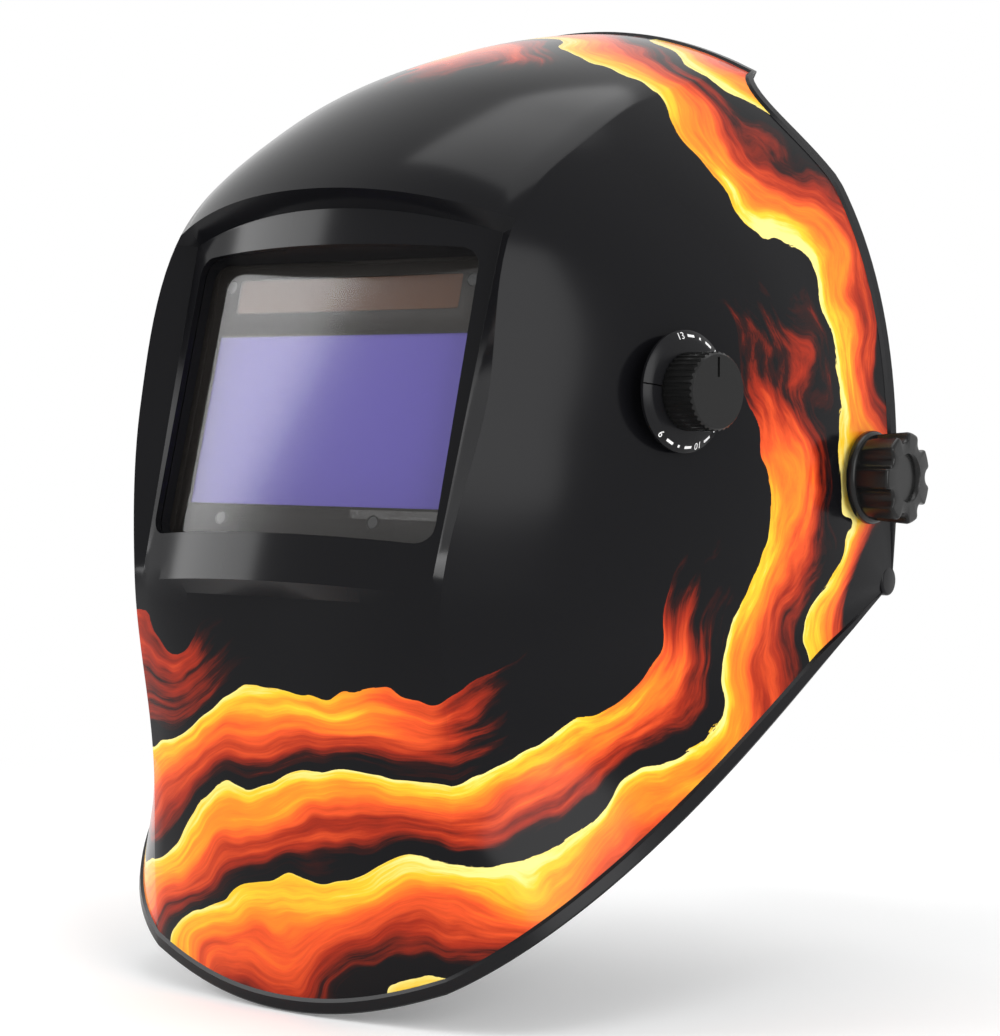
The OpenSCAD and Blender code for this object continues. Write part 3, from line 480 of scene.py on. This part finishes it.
# %% Columns and rows of the shell's grid
FRONT_COLS, SIDE_COLS = 16, 40
RIDGE_COL = FRONT_COLS + 1
HALF_COLS = RIDGE_COL + SIDE_COLS
CHIN_ROWS, PANEL_ROWS, DOME_ROWS = 30, 22, 40
PANEL_SHARE, SIDE_END, CROWDING = 0.9, 0.976, 1.4
SIDE_RISE, RIDGE_SHARE, NOTCH, NOTCH_END, NOTCH_SKEW = 4.5, 0.65, 4, 0.24, 0.6
BEAD_W, BEAD_H, BEAD_FALL, BEAD_TURN = 3.6, 0.9, 0.9, 1.2
WALL, SHELL_EDGE, SHELL_SMOOTH = 2.4, 0.7, 28
TAB_ROUND, TAB_INSET, TAB_WAY = 5, 2.8, math.radians(18)
TAB_PROUD, TAB_DEEP, TAB_EDGE, TAB_FADE = 0.4, 2.7, 0.9, 26


def front_share(col):
    return 1 if col == RIDGE_COL else PANEL_SHARE * col / FRONT_COLS


def side_share(col):
    return ((col - RIDGE_COL) / SIDE_COLS) ** CROWDING


def rib(angle, col):
    if col <= RIDGE_COL:
        return front_point(angle, front_share(col))
    return side_point(angle, SIDE_END * side_share(col))


def chin_rim(col):
    if col <= RIDGE_COL:
        share = 1 - (1 - RIDGE_SHARE) * front_share(col) ** 2
    else:
        share = RIDGE_SHARE * (1 - side_share(col)) ** 4
    return CHIN_RIM + SIDE_RISE * (1 - share)


def rear_rim(col):
    if col <= RIDGE_COL or side_share(col) > NOTCH_END:
        return REAR_RIM
    return REAR_RIM - NOTCH * math.sin(math.pi * (side_share(col) / NOTCH_END) ** NOTCH_SKEW)


def rim_turn(angle, col, width):
    return min(BEAD_TURN * width, math.degrees(width / rib(angle, col).y))


BEAD_ALL = BEAD_W + BEAD_FALL
BEAD_ROWS = [(0, 0.5), (0.5, BEAD_H), (BEAD_W, BEAD_H), (BEAD_ALL, 0)]
rows = [("chin", 0, width, lift) for width, lift in BEAD_ROWS]
rows += [("chin", (i + 1) / CHIN_ROWS, BEAD_ALL, 0) for i in range(CHIN_ROWS)]
rows += [("panel", i / PANEL_ROWS, 0, 0) for i in range(PANEL_ROWS + 1)]
rows += [("dome", i / DOME_ROWS, BEAD_ALL, 0) for i in range(DOME_ROWS)]
rows += [("dome", 1, width, lift) for width, lift in reversed(BEAD_ROWS)]


def on_bead(row):
    return row[:2] in (("chin", 0), ("dome", 1))


def shell_point(row, col):
    zone, share, width, _ = row
    if zone == "panel" and col <= FRONT_COLS:
        return panel_point(share, col / FRONT_COLS)
    if zone == "chin":
        start = chin_rim(col)
        angle = mix(start + rim_turn(start, col, width), LIP - STEP, share)
    elif zone == "panel":
        angle = mix(LIP, BROW - STEP, share)
    else:
        end = rear_rim(col)
        angle = mix(BROW, end - rim_turn(end, col, width), share)
    half, reach = rib(angle, col)
    out = direction(angle)
    return Vector((half, TAB_Y - reach * out.x, TAB_Z + reach * out.y))


print("shell grid:", 2 * HALF_COLS, "columns by", len(rows) - 1, "rows")

# %% [markdown]
# Bmesh makes a flat grid, and each of its vertices is then moved to its place on the fan. A Solidify
# modifier gives the sheet its wall. The bead is lifted after that, because a wall that is offset from an
# already lifted bead would fold where the bead gets narrow.

# %% Lay the grid over the fan
bm = bmesh.new()
bmesh.ops.create_grid(bm, x_segments=2 * HALF_COLS, y_segments=len(rows) - 1, size=1)
row_of = {}
for vert in bm.verts:
    col = round((vert.co.x + 1) * HALF_COLS) - HALF_COLS
    row = rows[round((vert.co.y + 1) / 2 * (len(rows) - 1))]
    point = shell_point(row, abs(col))
    vert.co = Vector((math.copysign(point.x, col) if col else 0, point.y, point.z)) * MM
    row_of[vert] = row
bm.normal_update()
middle = min(bm.faces, key=lambda f: (f.calc_center_median() - Vector((0, -0.15, -0.1))).length)
if middle.normal.y > 0:
    bmesh.ops.reverse_faces(bm, faces=bm.faces)
    bm.normal_update()
tab_at = Vector((TAB_Y, TAB_Z)) * MM


def bead_lift(vert):
    fade = min(1, (vert.co.yz - tab_at).length / (TAB_FADE * MM))
    return vert.normal * row_of[vert][3] * MM * fade


lifts = [bead_lift(v) for v in bm.verts]
for face in bm.faces:
    face.material_index = 1 if all(on_bead(row_of[v]) for v in face.verts) else 0
shell = add_piece("helmet_shell", bm, 30)
for material in (film, satin_black, inside_black):
    shell.data.materials.append(material)
wall = shell.modifiers.new("wall", "SOLIDIFY")
wall.thickness = WALL * MM
wall.offset = -1
wall.material_offset = 2
wall.material_offset_rim = 1
sheet_start = shell.data.vertices[0].co.copy()
walled = evaluated_mesh(shell)
shell.modifiers.clear()
shell.data = walled
outer = 0 if (walled.vertices[0].co - sheet_start).length < MERGE else len(lifts)
for i, lift in enumerate(lifts):
    walled.vertices[outer + i].co += lift
print("shell wall:", len(walled.polygons), "faces, outer side from vertex", outer)

# %% [markdown]
# The window opening is cut with a rounded block. The block starts as a rectangle of four vertices that
# is extruded along the window's normal and bevelled along its four long edges.


# %% Cut the window opening
def rounded_block(w, h, radius, low, high):
    bm = bmesh.new()
    signs = ((-1, -1), (1, -1), (1, 1), (-1, 1))
    base = bm.faces.new([bm.verts.new((sx * w / 2, sy * h / 2, low)) for sx, sy in signs])
    top = bmesh.ops.extrude_face_region(bm, geom=[base])
    raised = [v for v in top["geom"] if isinstance(v, bmesh.types.BMVert)]
    bmesh.ops.translate(bm, verts=raised, vec=(0, 0, high - low))
    bmesh.ops.recalc_face_normals(bm, faces=bm.faces)
    if radius:
        uprights = [e for e in bm.edges if abs(e.verts[0].co.z - e.verts[1].co.z) > 1e-6]
        bmesh.ops.bevel(
            bm, geom=uprights, offset=radius, offset_type="OFFSET", segments=8, profile=0.5,
            affect="EDGES", material=-1,
        )
    return bm


def carve(piece, cutter):
    cut = piece.modifiers.new("cut", "BOOLEAN")
    cut.operation = "DIFFERENCE"
    cut.solver = "EXACT"
    cut.object = cutter
    carved = evaluated_mesh(piece)
    piece.modifiers.clear()
    piece.data = carved
    bpy.data.objects.remove(cutter)


def join_in(bm, extra):
    mesh = bpy.data.meshes.new("joined")
    extra.to_mesh(mesh)
    extra.free()
    bm.from_mesh(mesh)
    bpy.data.meshes.remove(mesh)


window_frame = (
    Matrix.Translation((0, WINDOW_Y * MM, WINDOW_Z * MM))
    @ Matrix.Rotation(math.pi / 2 - LEAN, 4, "X")
    @ Matrix.Scale(MM, 4)
)
OPENING_W, OPENING_H, OPENING_ROUND, OPENING_LOW, OPENING_HIGH = 113, 92, 6, 3, 40
bm = rounded_block(OPENING_W, OPENING_H, OPENING_ROUND, OPENING_LOW, OPENING_HIGH)
bmesh.ops.transform(bm, matrix=window_frame, verts=bm.verts)
carve(shell, add_piece("opening_cutter", bm))
print("shell with opening:", len(shell.data.polygons), "faces")

# %% [markdown]
# Each rear tab ends in a round lobe. It is a small disc, spun on the lathe and joined into the shell's
# mesh, so that the shell stays one piece. Five points of the profile make its rounded edge.

# %% Round the rear tabs
add_bevel(shell, SHELL_EDGE, SHELL_SMOOTH)
bm = bmesh.new()
bm.from_mesh(shell.data)
bmesh.ops.remove_doubles(bm, verts=bm.verts, dist=MERGE)
TAB_FOOT = 0.3
tab_rim = [(0, -TAB_DEEP), (TAB_ROUND - TAB_FOOT, -TAB_DEEP), (TAB_ROUND, TAB_FOOT - TAB_DEEP)]
for step in range(5):
    turn = direction(22.5 * step)
    tab_rim.append((TAB_ROUND - TAB_EDGE + TAB_EDGE * turn.x, TAB_PROUD - TAB_EDGE + TAB_EDGE * turn.y))
tab_rim.append((0, TAB_PROUD))
lobe_y = TAB_Y - TAB_INSET * math.cos(TAB_WAY)
lobe_z = TAB_Z + TAB_INSET * math.sin(TAB_WAY)
for hand in (-1, 1):
    lobe = bmesh.new()
    lathe(lobe, tab_rim, steps=40)
    spot = (
        Matrix.Translation(Vector((hand * TAB_X, lobe_y, lobe_z)) * MM)
        @ Matrix.Rotation(hand * math.pi / 2, 4, "Y")
        @ Matrix.Scale(MM, 4)
    )
    bmesh.ops.transform(lobe, matrix=spot, verts=lobe.verts)
    for face in lobe.faces:
        face.material_index = 1
    join_in(bm, lobe)
smooth_by_angle(bm, SHELL_SMOOTH)
bm.to_mesh(shell.data)
bm.free()
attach(shell, "visor")
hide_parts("shell")
print("shell with tabs:", len(shell.data.polygons), "faces")

# %% [markdown]
# ## The window
# Behind the opening sits a tub that holds a clear plate, the cartridge with its dark coated filter, a
# brown solar strip and small sensors. The filter's colour comes from a thin coating, so it is a smooth
# blue-violet with a strong mirror gloss.

# %% Dress the window
coated_filter = finish("coated filter", (0.18, 0.135, 0.64), 0.3, specular=0.1)
solar_brown = finish("solar cell", (0.13, 0.05, 0.018), 0.4, specular=0.06)
clear_plate = finish("clear plate", (0.01, 0.01, 0.01), 0.09, alpha=0.2, ior=2.0)
for node, material, bevel in (
    ("window_tub", satin_black, 0.3),
    ("cartridge_frame", cartridge_grey, 0.3),
    ("solar_strip", solar_brown, 0.1),
    ("arc_sensors", sensor_lens, 0.2),
    ("front_cover_plate", clear_plate, 0),
    ("rear_cover_plate", clear_plate, 0),
    ("frame_clip", spring_steel, 0),
    ("sensitivity_knob", knob_black, 0.25),
    ("delay_knob", knob_black, 0.25),
):
    dress(node, material, bevel)
print("window dressed")

# %% [markdown]
# The filter is a glass sheet with square corners, let into the cartridge's face. The cartridge keeps its
# CAD form, and a Boolean takes a flat seat out of its face that is just wider than the glass.

# %% Seat the filter glass
GLASS_W, GLASS_H, GLASS_UP, GLASS_LOW, GLASS_TOP = 101.5, 55.4, -5.5, -2.9, -0.1
SEAT_GAP, SEAT_HIGH = 0.3, 5


def glass_block(grow, low, high):
    bm = rounded_block(GLASS_W + grow, GLASS_H + grow, 0, low, high)
    bmesh.ops.transform(bm, matrix=window_frame @ Matrix.Translation((0, GLASS_UP, 0)), verts=bm.verts)
    return bm


cartridge = dress("cartridge_body", cartridge_grey, 0)
carve(cartridge, add_piece("seat_cutter", glass_block(SEAT_GAP, GLASS_LOW, SEAT_HIGH)))
glass = add_piece("coated_filter_glass", glass_block(0, GLASS_LOW, GLASS_TOP))
settle(glass, body_of("filter_glass"), slot_of("filter_glass"), coated_filter, "filter_glass")
print("cartridge:", len(cartridge.data.polygons), "faces with the seat")

# %% [markdown]
# ## The shade control
# A bevelled dial carries shade numbers and strokes, and a ribbed grip turns over it. The dial is a
# profile spun about the control's axis. Its upper ring is spun a little less than a full turn, which
# leaves the split that the real ring has, and the open ends are filled.


# %% Spin the dial
SHADE_AT = Vector((100.6, -86.2, 27.8))
SHADE_TURN = math.radians(11)
DIAL_R, DIAL_LOW, DIAL_EDGE, DIAL_TOP, BAND_W, BORE_R = 18.75, 2, 3, 4.2, 3.2, 4.65
SPLIT_AT, SPLIT_W, RING_SINK = 262, 1.5, 0.3
shade_frame = (
    Matrix.Translation(SHADE_AT * MM)
    @ Matrix.Rotation(-SHADE_TURN, 4, "Z")
    @ Matrix.Rotation(math.pi / 2, 4, "Y")
    @ Matrix.Scale(MM, 4)
)
RING_LOW = DIAL_EDGE - RING_SINK
bm = bmesh.new()
lathe(bm, [(BORE_R, DIAL_LOW), (DIAL_R, DIAL_LOW), (DIAL_R, RING_LOW), (BORE_R, RING_LOW)])
ring = bmesh.new()
ring_profile = [
    (BORE_R, RING_LOW), (DIAL_R, RING_LOW), (DIAL_R, DIAL_EDGE - 0.1), (DIAL_R - 0.3, DIAL_EDGE + 0.15),
    (DIAL_R - BAND_W + 0.5, DIAL_TOP - 0.15), (DIAL_R - BAND_W, DIAL_TOP), (BORE_R, DIAL_TOP),
]
lathe(ring, ring_profile, SPLIT_AT + SPLIT_W / 2, 360 - SPLIT_W)
join_in(bm, ring)
bmesh.ops.transform(bm, matrix=shade_frame, verts=bm.verts)
dial = add_piece("shade_dial_ring", bm, 40)
settle(dial, body_of("shade_dial"), slot_of("shade_dial"), satin_black, "shade_dial")
print("dial:", len(dial.data.polygons), "faces")

# %% [markdown]
# The marks stand on the dial's sloping band. A text object becomes a mesh first. Then one matrix lays it
# on the band: out to the band's radius, tipped by the slope, and turned to its place round the axis.


# %% Marks on the dial
BAND_MIDDLE = DIAL_R - 0.55 * BAND_W
SLOPE = math.atan2(DIAL_TOP - DIAL_EDGE, BAND_W)
BAND_UP = DIAL_EDGE + (DIAL_R - BAND_MIDDLE) * math.tan(SLOPE) + 0.03
FIRST_AT, NUMBER_STEP, FIRST_SHADE, SHADES, NUMBER_SIZE = 228, 58, 9, 5, 3.2
STROKES = ((15, 3.0), (29, 0.8), (43, 3.0))
STROKE_W, MARK_T = 0.85, 0.08


def on_band(degrees):
    return (
        shade_frame
        @ Matrix.Rotation(math.radians(degrees), 4, "Z")
        @ Matrix.Translation((0, BAND_MIDDLE, BAND_UP))
        @ Matrix.Rotation(-SLOPE, 4, "X")
    )


def lettering(text, size):
    curve = bpy.data.curves.new("letters", "FONT")
    curve.body = text
    curve.size = size
    curve.extrude = MARK_T / 2
    curve.align_x = "CENTER"
    curve.align_y = "CENTER"
    letters = bpy.data.objects.new("letters", curve)
    bpy.context.scene.collection.objects.link(letters)
    mesh = evaluated_mesh(letters)
    bpy.data.objects.remove(letters)
    return mesh


marks = bmesh.new()
for i in range(SHADES):
    at = FIRST_AT + NUMBER_STEP * i
    before = set(marks.verts)
    marks.from_mesh(lettering(str(FIRST_SHADE + i), NUMBER_SIZE))
    bmesh.ops.transform(marks, matrix=on_band(at), verts=[v for v in marks.verts if v not in before])
    if i == SHADES - 1:
        continue
    for step, length in STROKES:
        made = bmesh.ops.create_cube(marks, size=1)
        shape = on_band(at + step) @ Matrix.Diagonal((length, STROKE_W, MARK_T, 1))
        bmesh.ops.transform(marks, matrix=shape, verts=made["verts"])
bmesh.ops.remove_doubles(marks, verts=marks.verts, dist=1e-8)
dial_marks = add_piece("dial_marks", marks, 30)
settle(dial_marks, body_of("shade_dial"), slot_of("shade_dial"), mark_white)
print("marks:", len(dial_marks.data.polygons), "faces")

# %% [markdown]
# The grip over the dial and the control behind it keep their CAD form. Their flutes and flats are already
# there, so a narrow bevel is all that they need.

# %% Grip, nut and control behind the dial
for node, material, bevel in (
    ("shade_knob", knob_black, 0.15),
    ("shade_potentiometer", cartridge_grey, 0.2),
    ("shade_nut", zinc, 0.2),
):
    dress(node, material, bevel)
print("shade control dressed")

# %% [markdown]
# ## Tension knobs and pivots
# The two star grips clamp the headgear. A star like this could be a disc with cylinders cut out of it,
# but then the round along its edge is hard to keep even. Here it is a stack of rings: each ring says how
# far out the star reaches at every angle, and neighbouring rings are joined by a strip of faces. The round
# at the front is then only a few rings that shrink.


# %% Rings of the star grip
KNOB_X, FLANGE_T, STAR_END, KNOB_R = 119.7, 3.2, 134.9, 15.3
STAR_LOBES, FLUTE_R, FLUTE_AT, STAR_ROUND, STAR_BLEND = 7, 3.6, 15.9, 1.1, 0.5
BORE, BORE_END, CUP_R, CUP_END, DIMPLE_R, DIMPLE_DEEP = 4.4, 131.6, 10.4, 121.5, 7.6, 1.6
STAR_INSET, SHOULDER_R, STAR_STEPS = 0.35, KNOB_R - 1.2, 24 * STAR_LOBES


def star_reach(theta):
    pitch = 2 * math.pi / STAR_LOBES
    off = (theta - math.pi) % pitch - pitch / 2
    side = FLUTE_R**2 - (FLUTE_AT * math.sin(off)) ** 2
    if side <= 0:
        return KNOB_R
    flute = FLUTE_AT * math.cos(off) - math.sqrt(side)
    blend = max(0, 1 - abs(KNOB_R - flute) / STAR_BLEND)
    return min(KNOB_R, flute) - STAR_BLEND / 4 * blend**2


def join_rings(bm, rings, hand):
    angles = [2 * math.pi * k / STAR_STEPS for k in range(STAR_STEPS)]
    loops = []
    for x, reach in rings:
        radii = [reach if isinstance(reach, (int, float)) else reach(a) for a in angles]
        spots = [(hand * x, r * math.cos(a), r * math.sin(a)) for r, a in zip(radii, angles)]
        loops.append([bm.verts.new(spot) for spot in spots])
    for one, two in zip(loops, loops[1:]):
        for k in range(STAR_STEPS):
            after = (k + 1) % STAR_STEPS
            bm.faces.new((one[k], one[after], two[after], two[k]))
    return loops


def star_foot(theta):
    reach = star_reach(theta)
    return reach - STAR_INSET if reach < SHOULDER_R else SHOULDER_R - 0.05


def star_knob(side, hand):
    top = KNOB_X + FLANGE_T
    rings = [(BORE_END, BORE), (CUP_END, BORE), (CUP_END, CUP_R), (KNOB_X, CUP_R), (KNOB_X, KNOB_R - 0.8)]
    rings += [(KNOB_X + 0.25, KNOB_R - 0.25), (KNOB_X + 0.8, KNOB_R), (top - 1.2, KNOB_R)]
    rings += [(top - 0.6, KNOB_R - 0.2), (top - 0.2, KNOB_R - 0.6), (top, SHOULDER_R), (top, star_foot)]
    for step in range(6):
        turn = direction(18 * step)
        shrink = STAR_INSET + STAR_ROUND * (1 - turn.x)
        x = STAR_END - STAR_ROUND + STAR_ROUND * turn.y
        rings.append((x, lambda a, shrink=shrink: star_reach(a) - shrink))
    rings += [(STAR_END, DIMPLE_R + 0.5), (STAR_END - 0.5, DIMPLE_R)]
    rings.append((STAR_END - DIMPLE_DEEP, DIMPLE_R - 0.3))
    bm = bmesh.new()
    loops = join_rings(bm, rings, hand)
    bm.faces.new(loops[0])
    bm.faces.new(loops[-1])
    bmesh.ops.scale(bm, vec=(MM, MM, MM), verts=bm.verts)
    bmesh.ops.recalc_face_normals(bm, faces=bm.faces)
    node = side + "_tension_knob"
    return settle(add_piece("star_" + node, bm, 40), body_of(node), slot_of(node), knob_black, node)


# %% [markdown]
# The rest of the pivots and the headgear are hidden in use. They keep their CAD form, and the steel pieces
# get a metal finish, so that the stack on each bolt can be read from inside.

# %% Dress the pivots and the headgear
for side, hand in (("left", 1), ("right", -1)):
    star_knob(side, hand)
    dress(side + "_outer_washer", zinc, 0.15)
    dress(side + "_stop_disc", cartridge_grey, 0.3)
    dress(side + "_friction_washer", friction_grey, 0.15)
    dress(side + "_pivot_bolt", zinc, 0.3)
    dress(side + "_slider", cartridge_grey, 0.3)
    dress(side + "_arm", strap_black, 0.5)
    dress(side + "_crown_strap", strap_black, 0.35)
    dress(side + "_nape_strap", strap_black, 0.35)
dress("head_band", strap_black, 0.45)
dress("band_rivets", zinc, 0.25)
dress("ratchet_base", strap_black, 0.4)
dress("ratchet_cover", satin_black, 0.6)
dress("ratchet_pinion", cartridge_grey, 0.15)
dress("ratchet_knob", knob_black, 0.5)
print("pivots and headgear dressed")

# %% [markdown]
# ## Pads
# The brow and nape pads are foam in a knitted cover. A pad could be a rounded box, but then it looks hard.
# Here the CAD pad is remeshed into an even net, and a short cloth simulation with pressure inside blows it
# up while its back is held against the band. The move of each vertex is capped, so the pad stays near its
# solid.


# %% A cloth simulation for the pads
SIM_STEPS = 20


def merged_copy(name, node):
    bm = bmesh.new()
    bm.from_mesh(frame["nodes"][node].data)
    bmesh.ops.remove_doubles(bm, verts=bm.verts, dist=MERGE)
    return add_piece(name, bm, 180)


def puff(piece, voxel, pressure, cap, is_held):
    remesh = piece.modifiers.new("even net", "REMESH")
    remesh.mode = "VOXEL"
    remesh.voxel_size = voxel * MM
    net = evaluated_mesh(piece)
    piece.modifiers.clear()
    piece.data = net
    rest = [v.co.copy() for v in net.vertices]
    held = piece.vertex_groups.new(name="held")
    held.add([v.index for v in net.vertices if is_held(v.co)], 1.0, "REPLACE")
    cloth = piece.modifiers.new("cover", "CLOTH")
    cloth.settings.use_pressure = True
    cloth.settings.uniform_pressure_force = pressure
    cloth.settings.effector_weights.gravity = 0
    cloth.settings.vertex_group_mass = "held"
    cloth.point_cache.frame_end = SIM_STEPS
    for step in range(1, SIM_STEPS + 1):
        bpy.context.scene.frame_set(step)
    puffed = evaluated_mesh(piece)
    piece.modifiers.clear()
    bpy.context.scene.frame_set(1)
    for vert, start in zip(puffed.vertices, rest):
        move = vert.co - start
        if move.length > cap * MM:
            vert.co = start + move * (cap * MM / move.length)
    piece.data = puffed
    for face in puffed.polygons:
        face.use_smooth = True
    return piece


# %% Puff the pads
BAND_AT = Vector((0, 8, 27.5)) * MM
band_frame = Matrix.Translation(BAND_AT) @ Matrix.Rotation(math.radians(-17), 4, "X")
to_band = band_frame.inverted()
END_CENTRE, END_R, HELD_T = 23 * MM, 70 * MM, 1.2 * MM
VOXEL, PRESSURE, MOVE_CAP = 3.0, 4.0, 2.5


def pad_radius(point, way):
    local = to_band @ point
    return math.hypot(local.x, local.y - way * END_CENTRE)


for node, way in (("brow_pad", -1), ("nape_pad", 1)):
    pad = merged_copy("foam_" + node, node)
    puff(pad, VOXEL, PRESSURE, MOVE_CAP, lambda point: pad_radius(point, way) > END_R - HELD_T)
    soften = pad.modifiers.new("smooth", "SUBSURF")
    soften.levels = soften.render_levels = 1
    settle(pad, body_of(node), slot_of(node), pad_cloth, node)
    print(pad.name, len(pad.data.polygons), "faces")

# %% [markdown]
# ## Floor, light and backdrop
# A pale floor lies under the chin and keeps the shadow. Further out it fades to plain white for the camera
# and for mirrors, so that no horizon shows. The fade is a mix of two shaders by the distance from the middle.

# %% Lay the floor
FLOOR_GAP, FLOOR_SIZE, FADE_FROM, FADE_TO = 0.0005, 6, 0.22, 0.55
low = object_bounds()[0][2]
bm = bmesh.new()
bmesh.ops.create_grid(bm, x_segments=1, y_segments=1, size=FLOOR_SIZE)
bmesh.ops.translate(bm, verts=bm.verts, vec=(0, 0, low - FLOOR_GAP))
floor = add_piece("floor", bm)
paper = finish("floor paper", (0.94, 0.94, 0.94), 0.9, specular=0.1)
floor.data.materials.append(paper)
tree = paper.node_tree
shader = tree.nodes["Principled BSDF"]
shader.inputs["Emission Color"].default_value = (1, 1, 1, 1)
shader.inputs["Emission Strength"].default_value = 0.1
white = tree.nodes.new("ShaderNodeEmission")
rays = tree.nodes.new("ShaderNodeLightPath")
spot = tree.nodes.new("ShaderNodeTexCoord").outputs["Object"]
away = tree.nodes.new("ShaderNodeVectorMath")
away.operation = "LENGTH"
tree.links.new(spot, away.inputs[0])
fade = ease(tree, away.outputs["Value"], FADE_FROM, FADE_TO)
seen = math_node(tree, "MAXIMUM", rays.outputs["Is Camera Ray"], rays.outputs["Is Glossy Ray"])
blend = tree.nodes.new("ShaderNodeMixShader")
tree.links.new(math_node(tree, "MULTIPLY", fade, seen), blend.inputs[0])
tree.links.new(shader.outputs[0], blend.inputs[1])
tree.links.new(white.outputs[0], blend.inputs[2])
tree.links.new(blend.outputs[0], tree.nodes["Material Output"].inputs["Surface"])
print("floor at", round(low, 4))

# %% [markdown]
# Three soft lamps: one at the left front, which draws the pale gradient over the filter, one at the right
# for the side of the shell, and one above. Large lamps give the long soft highlights of a gloss moulding.


# %% Set the lamps
def softbox(name, place, size, power):
    lamp = bpy.data.lights.new(name, "AREA")
    lamp.shape = "RECTANGLE"
    lamp.size, lamp.size_y = size
    lamp.energy = power
    stand = bpy.data.objects.new(name, lamp)
    aim = (-Vector(place)).to_track_quat("-Z", "Y").to_matrix().to_4x4()
    stand.matrix_world = Matrix.Translation(place) @ aim
    bpy.context.scene.collection.objects.link(stand)


softbox("left front softbox", (-1.3, -0.88, 0.66), (0.78, 0.9), 17)
softbox("right softbox", (1.7, -0.7, 0.5), (1.2, 1.4), 22)
softbox("top softbox", (0.1, 0.3, 1.7), (1.4, 1.2), 12)
print("lamps:", len(bpy.data.lights))

# %% [markdown]
# The world is a weak even light. For the camera, for mirrors and for glass it is plain white, which is what
# the photograph has behind the helmet.

# %% Set the backdrop
WORLD_LIGHT, WORLD_SEEN = 0.5, 1.0
world = bpy.data.worlds.new("studio")
world.use_nodes = True
bpy.context.scene.world = world
tree = world.node_tree
backdrop = tree.nodes["Background"]
rays = tree.nodes.new("ShaderNodeLightPath")
seen = math_node(tree, "MAXIMUM", rays.outputs["Is Camera Ray"], rays.outputs["Is Transmission Ray"])
seen = math_node(tree, "MAXIMUM", seen, rays.outputs["Is Glossy Ray"])
level = tree.nodes.new("ShaderNodeMapRange")
tree.links.new(seen, level.inputs["Value"])
level.inputs["To Min"].default_value = WORLD_LIGHT
level.inputs["To Max"].default_value = WORLD_SEEN
tree.links.new(level.outputs["Result"], backdrop.inputs["Strength"])
backdrop.inputs["Color"].default_value = (1, 1, 1, 1)
print("backdrop white where it is seen,", WORLD_LIGHT, "as light")
